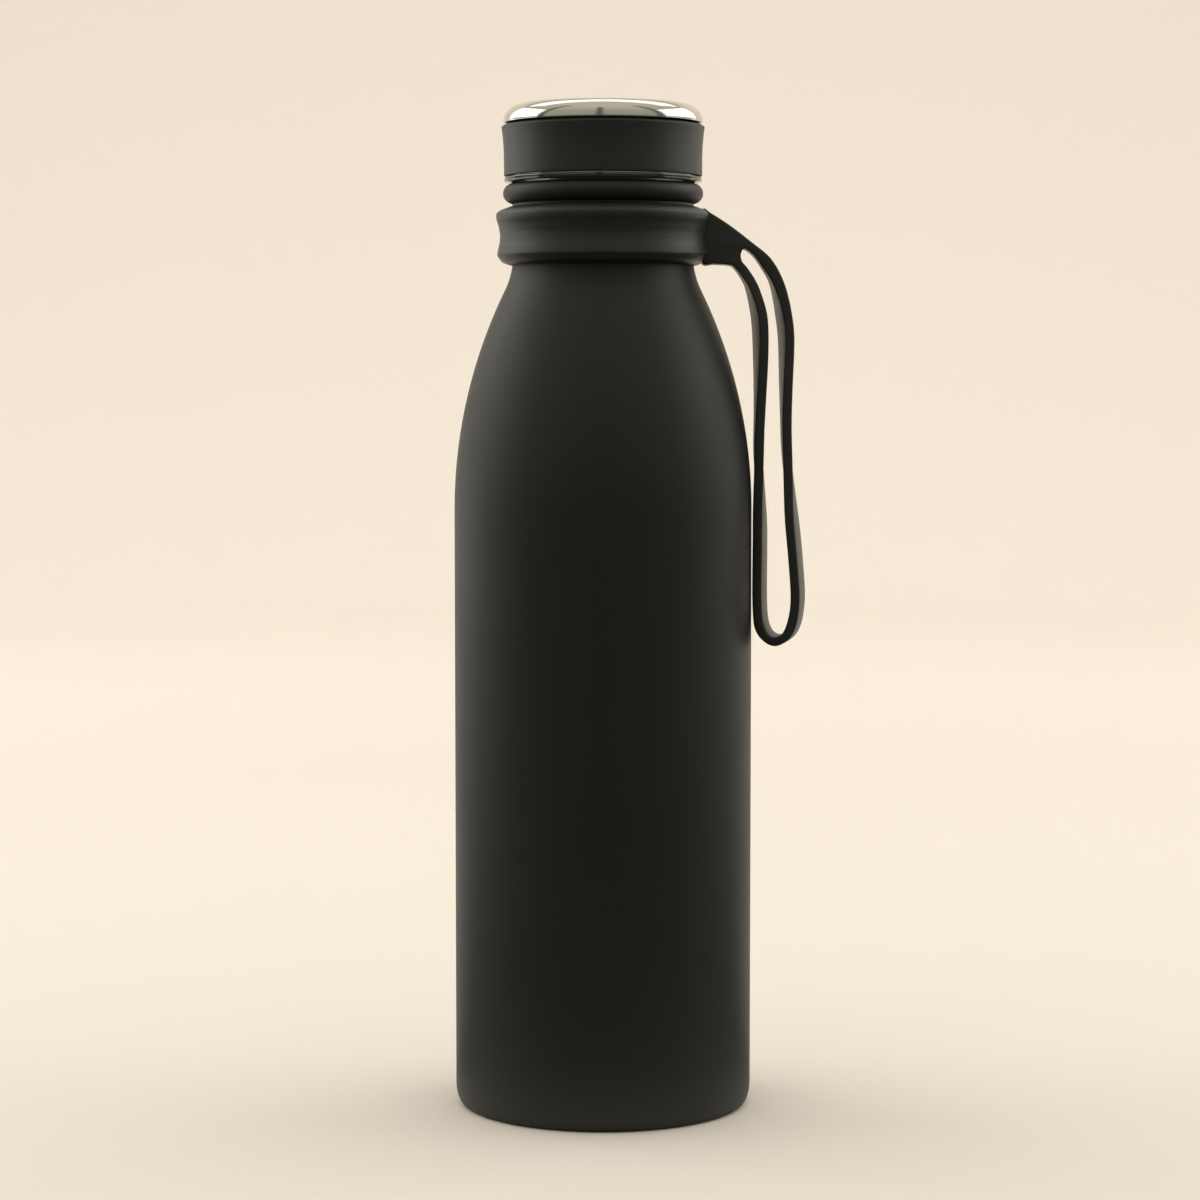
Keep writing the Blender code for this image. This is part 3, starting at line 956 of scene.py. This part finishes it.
@dataclass
class Body:
    """Coated outer wall, base disc and inner vessel."""

    marks: Landmarks
    lathe: Lathe
    finishes: Wardrobe
    cylinder_top: float = 147.0 * MM
    shoulder_r: float = 122.0 * MM
    neck_r: float = 22.0 * MM
    blend_r: float = 20.0 * MM
    wall: float = 0.6 * MM
    bead_r: float = 2.45 * MM
    foot_rise: float = 5.2 * MM
    foot_inset: float = 2.3 * MM
    foot_width: float = 1.2 * MM
    foot_lip: float = 3.2 * MM
    recess: float = 1.0 * MM
    plate: float = 0.6 * MM
    vessel_inset: float = 3.5 * MM
    vessel_wall: float = 0.4 * MM
    vessel_floor: float = 7.0 * MM
    vessel_corner: float = 8.0 * MM
    tube_r: float = 18.9 * MM
    mouth_r: float = 20.2 * MM

    def shoulder(self, wall_in: float, neck_r: float, blend_r: float) -> list[Point]:
        """Points down a wall's neck blend and shoulder.

        Args:
            wall_in: How far the wall lies inside the body's own.
            neck_r: Radius of the wall at the neck.
            blend_r: Radius of the concave blend.

        Returns:
            Points from the straight neck to the straight side.
        """
        centre_x = self.marks.body_r - self.shoulder_r
        radius = self.shoulder_r - wall_in
        across = neck_r + blend_r - centre_x
        blend_z = self.cylinder_top + sqrt((radius + blend_r) ** 2 - across**2)
        meet = degrees(asin((blend_z - self.cylinder_top) / (radius + blend_r)))
        down = arc(neck_r + blend_r, blend_z, blend_r, 180.0, 180.0 + meet, 20)
        return down + arc(centre_x, self.cylinder_top, radius, meet, 0.0, 40)[1:]

    def straight(self, radius: float, high: float, low: float, steps: int) -> list[Point]:
        """Evenly spaced points down a straight side, without its ends.

        Args:
            radius: The side's radius.
            high: Height of its upper end.
            low: Height of its lower end.
            steps: Number of steps between the ends.

        Returns:
            The points.
        """
        return [(radius, high + (low - high) * k / steps) for k in range(1, steps)]

    def shell(self) -> None:
        """Outer wall from the neck bead down to the foot, and back up inside."""
        m, wall = self.marks, self.wall
        bead_z = m.neck_top - self.bead_r
        foot_r = m.body_r - self.foot_inset
        lip_r = foot_r - self.foot_width - 0.3 * MM
        profile = [(self.mouth_r, m.neck_top - HAIR)]
        profile += arc(self.neck_r, bead_z, self.bead_r - HAIR, 90.0, -78.0, 24)
        profile += [(self.neck_r + 0.12 * MM, bead_z - self.bead_r - 0.12 * MM)]
        profile += self.shoulder(0.0, self.neck_r, self.blend_r)
        profile += self.straight(m.body_r, self.cylinder_top, self.foot_rise, 24)
        profile += arc(foot_r, self.foot_rise, self.foot_inset, 0.0, -90.0, 14, self.foot_rise)
        profile += [(foot_r - self.foot_width, 0.0), (lip_r + 0.1 * MM, 0.1 * MM)]
        profile += [(lip_r, 0.3 * MM), (lip_r, self.foot_lip), (lip_r + wall, self.foot_lip)]
        profile += [(lip_r + wall, wall)]
        profile += arc(
            foot_r, self.foot_rise, self.foot_inset - wall, -90.0, 0.0, 8, self.foot_rise - wall
        )
        profile += self.shoulder(wall, self.neck_r - wall, self.blend_r + wall)[::-1]
        profile += [(self.neck_r - wall, bead_z - self.bead_r + wall)]
        profile += arc(self.neck_r, bead_z, self.bead_r - wall, -90.0, 90.0, 8)
        profile += [(self.mouth_r, m.neck_top - wall)]
        coat = self.finishes.get(Finish.COAT)
        mesh = self.lathe.turn("body_shell", profile, coat, ring=True, segments=192)
        dressed("body_shell", mesh, "bottle", ("outer_shell",))

    def base(self) -> None:
        """Steel disc set back inside the foot, with a shallow pressed ring."""
        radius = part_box("base_cover")[1].y - HAIR
        low, high = self.recess, self.recess + self.plate
        groove_r, groove = radius - 7.0 * MM, 0.2 * MM
        profile = [(0.0, high), (radius, high)]
        profile += arc(radius - 0.2 * MM, low + 0.2 * MM, 0.2 * MM, 0.0, -90.0, 4)
        profile += [(groove_r + 0.9 * MM, low), (groove_r + 0.4 * MM, low + groove)]
        profile += [(groove_r - 0.4 * MM, low + groove), (groove_r - 0.9 * MM, low), (0.0, low)]
        faced = self.finishes.get(Finish.FACED)
        mesh = self.lathe.turn("base_disc", profile, faced)
        dressed("base_disc", mesh, "bottle", ("base_cover",))

    def vessel(self) -> None:
        """Inner wall, open at the mouth."""
        m, wall = self.marks, self.vessel_wall
        outer_r = m.body_r - self.vessel_inset
        corner_x, corner_z = outer_r - self.vessel_corner, self.vessel_floor + self.vessel_corner
        rim = m.mouth_top - 0.3 * MM
        mouth_r = self.tube_r - wall
        profile = [(0.0, self.vessel_floor + wall)]
        profile += arc(corner_x, corner_z, self.vessel_corner - wall, -90.0, 0.0, 12)
        profile += self.shoulder(self.vessel_inset + wall, mouth_r, self.blend_r + wall)[::-1]
        profile += arc(mouth_r + wall / 2, rim - wall / 2, wall / 2, 180.0, 0.0, 6)
        profile += self.shoulder(self.vessel_inset, self.tube_r, self.blend_r)
        profile += arc(corner_x, corner_z, self.vessel_corner, 0.0, -90.0, 12)
        profile += [(0.0, self.vessel_floor)]
        satin = self.finishes.get(Finish.SATIN)
        mesh = self.lathe.turn("drink_vessel", profile, satin)
        dressed("drink_vessel", mesh, "bottle", ("inner_vessel",))

    def build(self) -> None:
        """Make every piece."""
        self.shell()
        self.base()
        self.vessel()


@dataclass
class Neck:
    """Bare steel neck finish with its outer thread."""

    marks: Landmarks
    lathe: Lathe
    mill: ThreadMill
    thread: ScrewThread
    finishes: Wardrobe
    radius: float = 19.9 * MM
    wall: float = 0.7 * MM
    height: float = 0.9 * MM         # of the thread's ridges

    def build(self) -> None:
        """Turn the tube with its rolled mouth and add the ridges."""
        low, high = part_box("neck_finish")[0].z, self.marks.mouth_top
        mid = self.radius - self.wall / 2
        profile = arc(mid, high - self.wall / 2, self.wall / 2, 90.0, 0.0, 5)
        profile += [(self.radius, low), (self.radius - self.wall, low)]
        profile += arc(mid, high - self.wall / 2, self.wall / 2, 180.0, 90.0, 5)[:-1]
        satin = self.finishes.get(Finish.SATIN)
        tube = self.lathe.turn("threaded_neck", profile, satin, ring=True)
        base = self.marks.lid_low + self.thread.first
        crest_r = self.radius + self.height
        ridges = self.mill.mill("neck_ridges", self.radius, crest_r, base, self.thread, satin)
        dressed("threaded_neck", merged(tube, ridges), "bottle", ("neck_finish",))


@dataclass
class Lid:
    """Screw lid: steel cup, grip band, threaded cap, liner and gasket."""

    marks: Landmarks
    lathe: Lathe
    mill: ThreadMill
    thread: ScrewThread
    finishes: Wardrobe
    gap: float = 0.3 * MM
    wall: float = 0.5 * MM
    corner_in: float = 5.3 * MM      # how far in the elliptical corner begins
    step: float = 1.5 * MM
    roll_step: float = 1.2 * MM
    band_wall: float = 1.0 * MM
    band_flare: float = 0.6 * MM
    dome: float = 0.42 * MM
    core_wall: float = 1.0 * MM
    ridge_h: float = 0.9 * MM
    plug_r: float = 17.4 * MM
    plug_wall: float = 1.2 * MM
    plug_drop: float = 3.5 * MM
    ceiling: float = 1.5 * MM

    def cup(self) -> None:
        """Drawn steel cup with a softly domed top and a rolled lower edge."""
        m, seat_r = self.marks, self.marks.seat_r
        top_r = seat_r + self.step
        seat_top = m.band_top + self.gap
        flat_r, corner_z = top_r - self.corner_in, seat_top + self.gap
        corner_h = m.lid_top - self.dome - corner_z
        skirt_low = m.band_low - self.gap + HAIR
        profile = [(0.0, m.lid_top)]
        profile += [(flat_r * k / 6, m.lid_top - self.dome * (k / 6) ** 2) for k in range(1, 6)]
        profile += arc(flat_r, corner_z, self.corner_in, 90.0, 0.0, 28, corner_h)
        edge = [(top_r, corner_z - 0.05 * MM), (top_r, seat_top), (seat_r, seat_top)]
        edge += [(seat_r, skirt_low), (seat_r - self.wall, skirt_low)]
        edge += [(seat_r - self.wall, seat_top - self.wall)]
        profile += rounded(edge, [0.0, 0.2 * MM, 0.0, 0.0, 0.0, 0.0], 5)
        inner, inner_h = self.corner_in - self.wall, corner_h - self.wall
        profile += arc(flat_r, corner_z, inner, 0.0, 90.0, 16, inner_h)
        profile += [(0.0, m.lid_top - self.dome - self.wall)]
        steel = self.finishes.get(Finish.POLISHED)
        mesh = self.lathe.turn("lid_cup", profile, steel, segments=192)
        dressed("lid_cup", mesh, "lid", ("lid_cover",))

    def rolled_edge(self) -> None:
        """Rolled lower edge of the cup, darker than its top by painted shade."""
        m = self.marks
        inner_r, roll_r = m.seat_r - self.wall, m.seat_r + self.roll_step
        high = m.band_low - self.gap
        edge = [(inner_r, high), (roll_r, high), (roll_r, m.lid_low), (inner_r, m.lid_low)]
        profile = rounded(edge, [0.0, 0.3 * MM, 0.3 * MM, 0.0], 6)
        # The dark base colour here is painted shade under the grip band
        dark = self.finishes.get(Finish.PAINTED_SHADE_STEEL)
        mesh = self.lathe.turn("lid_rolled_edge", profile, dark, ring=True, segments=192)
        dressed("lid_rolled_edge", mesh, "lid", ("lid_cover",))

    def band(self) -> None:
        """Grip band, waisted and flared at its upper edge."""
        m = self.marks
        inner_r = m.seat_r + self.gap
        outer_r, low, high = inner_r + self.band_wall, m.band_low, m.band_top
        flare_r = outer_r + self.band_flare
        edge = [(inner_r, high), (flare_r - 1.0 * MM, high), (flare_r, high - 0.6 * MM)]
        edge += [(flare_r - 0.28 * MM, high - 2.6 * MM), (outer_r + 0.05 * MM, high - 6.0 * MM)]
        edge += [(outer_r, low + 3.0 * MM), (outer_r, low), (inner_r, low)]
        radii = [0.0, 0.2 * MM, 0.16 * MM, 0.9 * MM, 1.5 * MM, 0.9 * MM, 0.3 * MM, 0.0]
        silicone = self.finishes.get(Finish.SILICONE)
        profile = rounded(edge, radii, 5)
        mesh = self.lathe.turn("lid_grip_band", profile, silicone, ring=True, segments=192)
        dressed("lid_grip_band", mesh, "lid", ("grip_band",))

    def cap(self) -> None:
        """Moulded cap with the inner thread and the plug."""
        m = self.marks
        low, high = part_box("lid_core")[0].z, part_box("lid_core")[1].z
        under = high - self.ceiling
        inner_r = m.core_r - self.core_wall
        plug_low = under - self.plug_drop
        plug_in = self.plug_r - self.plug_wall
        edge = [(0.0, high), (m.core_r, high), (m.core_r, low), (inner_r, low), (inner_r, under)]
        edge += [(self.plug_r, under), (self.plug_r, plug_low), (plug_in, plug_low)]
        edge += [(plug_in, under), (0.0, under)]
        radii = [0.0, 0.4 * MM, 0.2 * MM, 0.4 * MM, 0.0, 0.0, 0.4 * MM, 0.3 * MM, 0.0, 0.0]
        plastic = self.finishes.get(Finish.PLASTIC)
        cap = self.lathe.turn("lid_cap", rounded(edge, radii), plastic)
        base = m.lid_low + self.thread.first - self.thread.lead / self.thread.starts / 2
        crest_r = inner_r - self.ridge_h
        ridges = self.mill.mill("cap_ridges", inner_r, crest_r, base, self.thread, plastic)
        dressed("lid_cap", merged(cap, ridges), "lid", ("lid_core",))

    def liner(self) -> None:
        """Steel disc that closes the plug, with a pressed ring."""
        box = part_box("lid_liner")
        radius, low, high = box[1].y - HAIR, box[0].z, box[1].z
        dish_r, dish = radius - 3.0 * MM, 0.18 * MM
        profile = [(0.0, high), (radius, high), (radius, low), (dish_r + 0.5 * MM, low)]
        profile += [(dish_r, low + dish), (0.0, low + dish)]
        faced = self.finishes.get(Finish.FACED)
        mesh = self.lathe.turn("plug_liner", profile, faced)
        dressed("plug_liner", mesh, "lid", ("lid_liner",))

    def gasket(self) -> None:
        """Sealing ring with a raised lip in the middle of its lower face."""
        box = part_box("lid_gasket")
        outer_r, low, high = box[1].y, box[0].z, box[1].z
        inner_r = self.plug_r + self.gap
        mid = (inner_r + outer_r) / 2
        edge = [(inner_r, high), (outer_r, high), (outer_r, low + 0.3 * MM)]
        edge += [(mid + 0.6 * MM, low + 0.3 * MM), (mid, low), (mid - 0.6 * MM, low + 0.3 * MM)]
        edge += [(inner_r, low + 0.3 * MM)]
        radii = [0.0, 0.2 * MM, 0.2 * MM, 0.2 * MM, 0.3 * MM, 0.2 * MM, 0.0]
        seal = self.finishes.get(Finish.SEAL)
        mesh = self.lathe.turn("mouth_seal", rounded(edge, radii), seal, ring=True)
        dressed("mouth_seal", mesh, "seal", ("lid_gasket",))

    def build(self) -> None:
        """Make every piece."""
        self.cup()
        self.rolled_edge()
        self.band()
        self.cap()
        self.liner()
        self.gasket()


@dataclass
class Strap:
    """Collar, web and loop, moulded as one piece of silicone."""

    marks: Landmarks
    lathe: Lathe
    finishes: Wardrobe
    waist: float = 0.55 * MM
    wall: float = 3.4 * MM
    depth: float = 10.0 * MM
    leg_wall: float = 2.3 * MM
    edge: float = 0.42 * MM
    knee_reach: float = 7.8 * MM
    twist_line: float = 3.7 * MM
    bend_from: Point = (-6.6 * MM, 3.2 * MM)     # out from the inner leg, up from the collar
    bend_to: Point = (1.2 * MM, -7.6 * MM)

    ROUTE = (
        (-0.9, 13.2), (-0.55, 22.0), (-0.65, 33.0), (-0.9, 44.0), (-0.7, 55.0), (-0.5, 66.0),
        (-0.5, 83.0), (0.5, 89.4), (3.8, 91.9), (7.3, 89.6), (8.9, 82.5), (8.35, 72.0),
        (6.9, 57.0), (5.9, 43.0), (5.75, 30.0), (5.8, 18.1), (5.05, 11.5),
    )
    KNEE_UNDER = ((4.25, -6.6), (2.85, -3.5), (0.7, -0.6), (-0.8, 0.1))
    KNEE_SLOT = (
        (6.7, -6.6), (5.55, -3.5), (3.75, -0.6), (2.5, 0.9), (2.2, 2.6), (3.1, 4.0),
        (5.4, 2.4), (7.55, -0.6), (9.35, -3.5), (10.5, -6.6),
    )
    KNEE_OVER = ((0.0, 9.3), (5.2, 5.3), (8.8, 2.4), (11.05, -0.6), (12.35, -3.5), (13.2, -6.6))
    TWIST = ((0.0, 0.0), (13.0, 9.0), (42.0, 0.0), (66.0, -11.5), (95.0, -11.5))

    def collar(self) -> bpy.types.Mesh:
        """Ring round the neck, waisted between two thick rounded edges.

        Returns:
            The ring's mesh.
        """
        m = self.marks
        low, high, radius = m.collar_low, m.collar_top, m.collar_r
        inner_r = radius - self.wall
        edge = [(inner_r, high - 0.4 * MM), (inner_r + 0.35 * MM, high - HAIR)]
        edge += [(radius - 0.55 * MM, high - 0.9 * MM), (radius + 0.49 * MM, high - 1.75 * MM)]
        edge += [(radius + 0.40 * MM, high - 3.1 * MM), (radius - 0.10 * MM, high - 4.5 * MM)]
        edge += [(radius - self.waist, (low + high) / 2 + 0.4 * MM)]
        edge += [(radius - 0.42 * MM, low + 5.6 * MM), (radius - 0.12 * MM, low + 4.3 * MM)]
        edge += [(radius + 0.22 * MM, low + 2.45 * MM), (radius - 0.95 * MM, low + 0.75 * MM)]
        edge += [(inner_r + 0.5 * MM, low + HAIR), (inner_r, low + 0.7 * MM)]
        radii = [0.0, 0.2, 0.6, 0.6, 0.6, 0.6, 0.7, 0.6, 0.6, 0.35, 0.5, 0.2, 0.0]
        profile = rounded(edge, [MM * value for value in radii], 5)
        silicone = self.finishes.get(Finish.SILICONE)
        return self.lathe.turn("collar_ring", profile, silicone, ring=True, segments=192)

    def side(self, way: float) -> list[Point]:
        """One side of the legs: the route's points moved by half the wall.

        Args:
            way: 1 for the outer side, -1 for the slot's.

        Returns:
            The side's points.
        """
        spots = [Vector((self.marks.leg_x + x * MM, self.marks.collar_low - z * MM)) for x, z in self.ROUTE]
        out = []
        for k, spot in enumerate(spots):
            along = spots[min(k + 1, len(spots) - 1)] - spots[max(k - 1, 0)]
            across = Vector((along.y, -along.x)).normalized()
            moved = spot + across * way * self.leg_wall / 2
            out.append((moved.x, moved.y))
        return out

    def knee(self, outline: tuple[Point, ...]) -> list[Point]:
        """Knee outline in place.

        Args:
            outline: Millimetres out from the web's end and up from the collar's edge.

        Returns:
            The outline's points.
        """
        web_end = self.marks.leg_x - self.knee_reach
        return [(web_end + x * MM, self.marks.collar_low + z * MM) for x, z in outline]

    def twisted(self, mesh: bpy.types.Mesh) -> None:
        """Twist the strap about its vertical line, by an angle that follows its depth.

        Args:
            mesh: The strap's mesh, changed in place.
        """
        line = self.marks.leg_x + self.twist_line
        for vertex in mesh.vertices:
            angle = radians(self.twist_at((self.marks.collar_low - vertex.co.z) / MM))
            x, y = vertex.co.x - line, vertex.co.y
            vertex.co.x = line + x * cos(angle) - y * sin(angle)
            vertex.co.y = x * sin(angle) + y * cos(angle)

    def twist_at(self, depth: float) -> float:
        """Twist at a depth.

        Args:
            depth: Millimetres below the collar's lower edge.

        Returns:
            The twist in degrees.
        """
        if depth <= self.TWIST[0][0]:
            return self.TWIST[0][1]
        for (low, before), (high, after) in zip(self.TWIST, self.TWIST[1:]):
            if depth <= high:
                share = (depth - low) / (high - low)
                return before + (after - before) * share * share * (3 - 2 * share)
        return self.TWIST[-1][1]

    def loop(self) -> bpy.types.Mesh:
        """Web and loop as one flat outline with a slot, thick along Y, its edges rounded.

        Returns:
            The loop's mesh.
        """
        m = self.marks
        root = m.collar_r - 1.6 * MM
        high = m.collar_top
        outer = self.knee(self.KNEE_OVER) + self.side(1.0)[::-1] + self.knee(self.KNEE_UNDER)
        outer += [(root + 3.0 * MM, m.collar_low + 0.3 * MM), (root, m.collar_low + 0.6 * MM)]
        outer += [(root - 1.0 * MM, (m.collar_low + high) / 2), (root, high - 0.9 * MM)]
        outer += [(m.collar_r + 0.6 * MM, high - 1.75 * MM)]
        slot = self.knee(self.KNEE_SLOT) + self.side(-1.0)[::-1]
        curve = bpy.data.curves.new("strap_outline", "CURVE")
        curve.dimensions = "2D"
        curve.fill_mode = "BOTH"
        curve.extrude = self.depth / 2 - self.edge
        curve.bevel_depth = self.edge
        curve.bevel_resolution = 3
        curve.offset = -self.edge
        for corners in (outer, slot):
            points = smooth_through(corners, 6)
            spline = curve.splines.new("POLY")
            spline.points.add(len(points) - 1)
            for point, (x, z) in zip(spline.points, points):
                point.co = (x, z, 0.0, 1.0)
            spline.use_cyclic_u = True
        obj = bpy.data.objects.new("strap_outline", curve)
        obj.rotation_euler = (pi / 2, 0.0, 0.0)
        bpy.context.scene.collection.objects.link(obj)
        bpy.context.view_layer.update()
        graph = bpy.context.evaluated_depsgraph_get()
        mesh = bpy.data.meshes.new_from_object(obj.evaluated_get(graph))
        mesh.transform(obj.matrix_world)
        bpy.data.objects.remove(obj, do_unlink=True)
        bm = bmesh.new()
        bm.from_mesh(mesh)
        bmesh.ops.remove_doubles(bm, verts=bm.verts, dist=0.002 * MM)
        bmesh.ops.recalc_face_normals(bm, faces=bm.faces)
        if bm.calc_volume(signed=True) < 0.0:
            bmesh.ops.reverse_faces(bm, faces=bm.faces)
        bm.to_mesh(mesh)
        bm.free()
        mesh.materials.clear()
        mesh.materials.append(self.finishes.get(Finish.SILICONE))
        mesh.shade_smooth()
        self.twisted(mesh)
        return mesh

    def build(self) -> None:
        """Join collar and loop into one piece, attached to no body; the ends of the web's bend are worked
        out but not used.
        """
        m = self.marks
        ring = bpy.data.objects.new("ring", self.collar())
        loop = bpy.data.objects.new("loop", self.loop())
        for one in (ring, loop):
            bpy.context.scene.collection.objects.link(one)
        union = ring.modifiers.new("join", "BOOLEAN")
        union.operation = "UNION"
        union.solver = "EXACT"
        union.object = loop
        union.use_self = True
        bpy.context.view_layer.update()
        graph = bpy.context.evaluated_depsgraph_get()
        mesh = bpy.data.meshes.new_from_object(ring.evaluated_get(graph))
        for one in (ring, loop):
            bpy.data.objects.remove(one, do_unlink=True)
        nodes = ("strap_collar", "strap_knee", "strap_loop")
        strap = dressed("collar_and_strap", mesh, "", nodes, 38.0)
        start = (m.leg_x + self.bend_from[0], 0.0, m.collar_low + self.bend_from[1])
        end = (m.leg_x + self.bend_to[0], 0.0, m.collar_low + self.bend_to[1])
        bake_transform(strap)


def dress_hidden(nodes: dict[str, bpy.types.Object], finishes: Wardrobe) -> None:
    """Give the sealed inner pieces, which stay as CAD made them, their finishes.

    Args:
        nodes: The frame's nodes by name.
        finishes: Where the materials come from.
    """
    wanted = {
        "outer_base": Finish.FACED,
        "vacuum_seal": Finish.GLASS,
        "getter": Finish.SATIN,
        "foil_wrap": Finish.FOIL,
        "lid_foam": Finish.FOAM,
    }
    for name, finish in wanted.items():
        for slot in nodes[name].material_slots:
            slot.material = finishes.get(finish)


# ---------------------------------------------------------------- studio


@dataclass(frozen=True)
class Softbox:
    """A rectangular lamp that points at the bottle."""

    name: str
    place: tuple[float, float, float]
    width: float
    height: float
    power: float
    aim: tuple[float, float, float]
    mirrored: bool = True
    colour: Colour = (1.0, 0.99, 0.98)

    def hang(self) -> None:
        """Put the lamp in the scene, unseen by the camera."""
        lamp = bpy.data.lights.new(self.name, "AREA")
        lamp.shape = "RECTANGLE"
        lamp.size = self.width
        lamp.size_y = self.height
        lamp.energy = self.power
        lamp.color = self.colour
        obj = bpy.data.objects.new(self.name, lamp)
        obj.location = self.place
        away = Vector(self.aim) - Vector(self.place)
        obj.rotation_euler = away.to_track_quat("-Z", "Y").to_euler()
        obj.visible_camera = False
        obj.visible_glossy = self.mirrored
        bpy.context.scene.collection.objects.link(obj)


@dataclass
class Studio:
    """Pale round sweep, soft lamps, dark flags and the camera."""

    lathe: Lathe
    room_r: float = 2.2
    sweep_r: float = 0.7
    room_h: float = 1.9
    table_r: float = 0.06            # floor close around the bottle
    backdrop: Colour = (0.84, 0.775, 0.70)
    horizon: Colour = (0.09, 0.09, 0.075)
    zenith: Colour = (0.60, 0.58, 0.48)
    focal: float = 97.04
    distance: float = 0.7951
    height: float = 0.18256
    aside: float = -0.00075
    pitch: float = 4.154

    LAMPS = (
        Softbox("left_softbox", (-1.20, 0.42, 0.86), 1.4, 0.88, 6.9, (0.0, 0.2, 0.76)),
        Softbox("right_softbox", (1.20, 0.38, 0.86), 1.4, 0.88, 6.0, (0.0, 0.2, 0.76)),
        Softbox("left_low_softbox", (-1.20, 0.40, 0.15), 1.4, 0.2, 2.1, (0.0, 0.2, 0.15)),
        Softbox("right_low_softbox", (1.20, 0.36, 0.15), 1.4, 0.2, 1.2, (0.0, 0.2, 0.15)),
        Softbox("top_softbox", (0.0, -0.35, 2.3), 3.4, 2.6, 19.0, (0.0, -0.35, 0.0), False),
        Softbox("back_top_softbox", (0.0, 0.95, 1.85), 2.4, 0.7, 6.6, (0.0, 0.0, 0.2)),
        Softbox("back_wall_lamp", (0.0, 0.9, 1.5), 3.0, 0.5, 11.0, (0.0, 2.2, 1.3)),
    )
    DAWN = [(0.03, 0.0), (0.15, 0.55), (0.60, 0.65), (0.95, 1.0)]
    FLAGS = ((-0.97, -0.24, 0.17), (0.94, -0.35, 0.17), (-0.09, -1.25, 0.17))

    def sweep(self) -> None:
        """Floor and wall in one turned sweep; the front half is kept out of reflections."""
        sheet = Sheet("studio_sweep")
        cloud = sheet.noise(0.9, 2.0)
        tone = sheet.mix(cloud * 0.25, self.backdrop, tuple(0.97 * c for c in self.backdrop))
        sheet.set(Base_Color=tone, Roughness=0.9, Specular_IOR_Level=0.1)
        profile = [(0.0, 0.0), (self.table_r, 0.0), (0.25, 0.0), (0.6, 0.0)]
        profile += [(self.room_r - self.sweep_r, 0.0)]
        profile += arc(self.room_r - self.sweep_r, self.sweep_r, self.sweep_r, -90.0, 0.0, 24)
        profile += [(self.room_r, self.room_h)]
        for name, front in (("studio_back", False), ("studio_front", True)):
            mesh = self.lathe.turn(name, profile, sheet.material, segments=128)
            bm = bmesh.new()
            bm.from_mesh(mesh)
            spots = [(face, face.calc_center_median()) for face in bm.faces]
            far = {f for f, c in spots if c.y < 0.7 * abs(c.x) and c.xy.length > self.table_r}
            other = [f for f, c in spots if front != (f in far)]
            bmesh.ops.delete(bm, geom=other, context="FACES")
            bmesh.ops.reverse_faces(bm, faces=bm.faces)
            bm.to_mesh(mesh)
            bm.free()
            obj = bpy.data.objects.new(name, mesh)
            obj.visible_glossy = not front
            obj.visible_diffuse = not front
            bpy.context.scene.collection.objects.link(obj)

    def flags(self) -> None:
        """Narrow dark cards beside and behind the camera, seen only in reflections."""
        sheet = Sheet("flag_cloth")
        weave = sheet.noise(2 * MM, 2.0)
        sheet.set(Base_Color=sheet.mix(weave, (0.10, 0.10, 0.09), (0.13, 0.13, 0.12)))
        for number, (x, y, width) in enumerate(self.FLAGS):
            bm = bmesh.new()
            bmesh.ops.create_cube(bm, size=1.0)
            bmesh.ops.scale(bm, vec=(0.01, width, 2.5), verts=bm.verts)
            facing = Vector((x, y)).angle_signed(Vector((1.0, 0.0)))
            turn = Matrix.Rotation(facing, 3, "Z")
            bmesh.ops.rotate(bm, matrix=turn, verts=bm.verts)
            bmesh.ops.translate(bm, vec=(x, y, 1.30), verts=bm.verts)
            mesh = bpy.data.meshes.new("flag")
            bm.to_mesh(mesh)
            bm.free()
            mesh.materials.append(sheet.material)
            obj = bpy.data.objects.new(f"flag_{number}", mesh)
            obj.visible_camera = False
            obj.visible_shadow = False
            obj.visible_diffuse = False
            bpy.context.scene.collection.objects.link(obj)

    def light(self) -> None:
        """Hang the lamps and set the room's even light, dimmer below than above."""
        for lamp in self.LAMPS:
            lamp.hang()
        world = bpy.data.worlds.new("studio_air")
        world.use_nodes = True
        desk = Desk(world.node_tree)
        way = desk.node("ShaderNodeTexCoord", {}, {}).outputs["Generated"]
        parts = desk.node("ShaderNodeSeparateXYZ", {}, {0: way})
        up = desk.ramp(Signal(desk, parts.outputs["Z"]), self.DAWN)
        air = world.node_tree.nodes["Background"]
        desk.feed(air.inputs["Color"], desk.mix(up, self.horizon, self.zenith))
        bpy.context.scene.world = world

    def camera(self) -> None:
        """Long lens a little above the middle of the bottle, looking slightly down."""
        lens = bpy.data.cameras.new("camera")
        lens.lens = self.focal
        lens.sensor_width = 36.0
        lens.clip_start = 0.05
        obj = bpy.data.objects.new("camera", lens)
        obj.location = (self.aside, -self.distance, self.height)
        obj.rotation_euler = (radians(90.0 - self.pitch), 0.0, 0.0)
        bpy.context.scene.collection.objects.link(obj)
        bpy.context.scene.camera = obj

    def build(self) -> None:
        """Set the whole studio."""
        self.sweep()
        self.flags()
        self.light()
        self.camera()
        view = bpy.context.scene.view_settings
        view.view_transform = "Standard"
        view.look = "None"
        view.exposure = 0.0
        view.gamma = 1.0


def main() -> None:
    """Build the bottle's looks around the frame, and the studio around the bottle."""
    logging.basicConfig(level=logging.INFO, format="%(name)s: %(message)s")
    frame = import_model()
    marks = Landmarks.read()
    finishes = Wardrobe()
    lathe = Lathe()
    mill = ThreadMill()
    thread = ScrewThread()
    Body(marks, lathe, finishes).build()
    Neck(marks, lathe, mill, thread, finishes).build()
    Lid(marks, lathe, mill, thread, finishes).build()
    Strap(marks, lathe, finishes).build()
    dress_hidden(frame["nodes"], finishes)
    Studio(lathe).build()


if __name__ == "__main__":
    main()
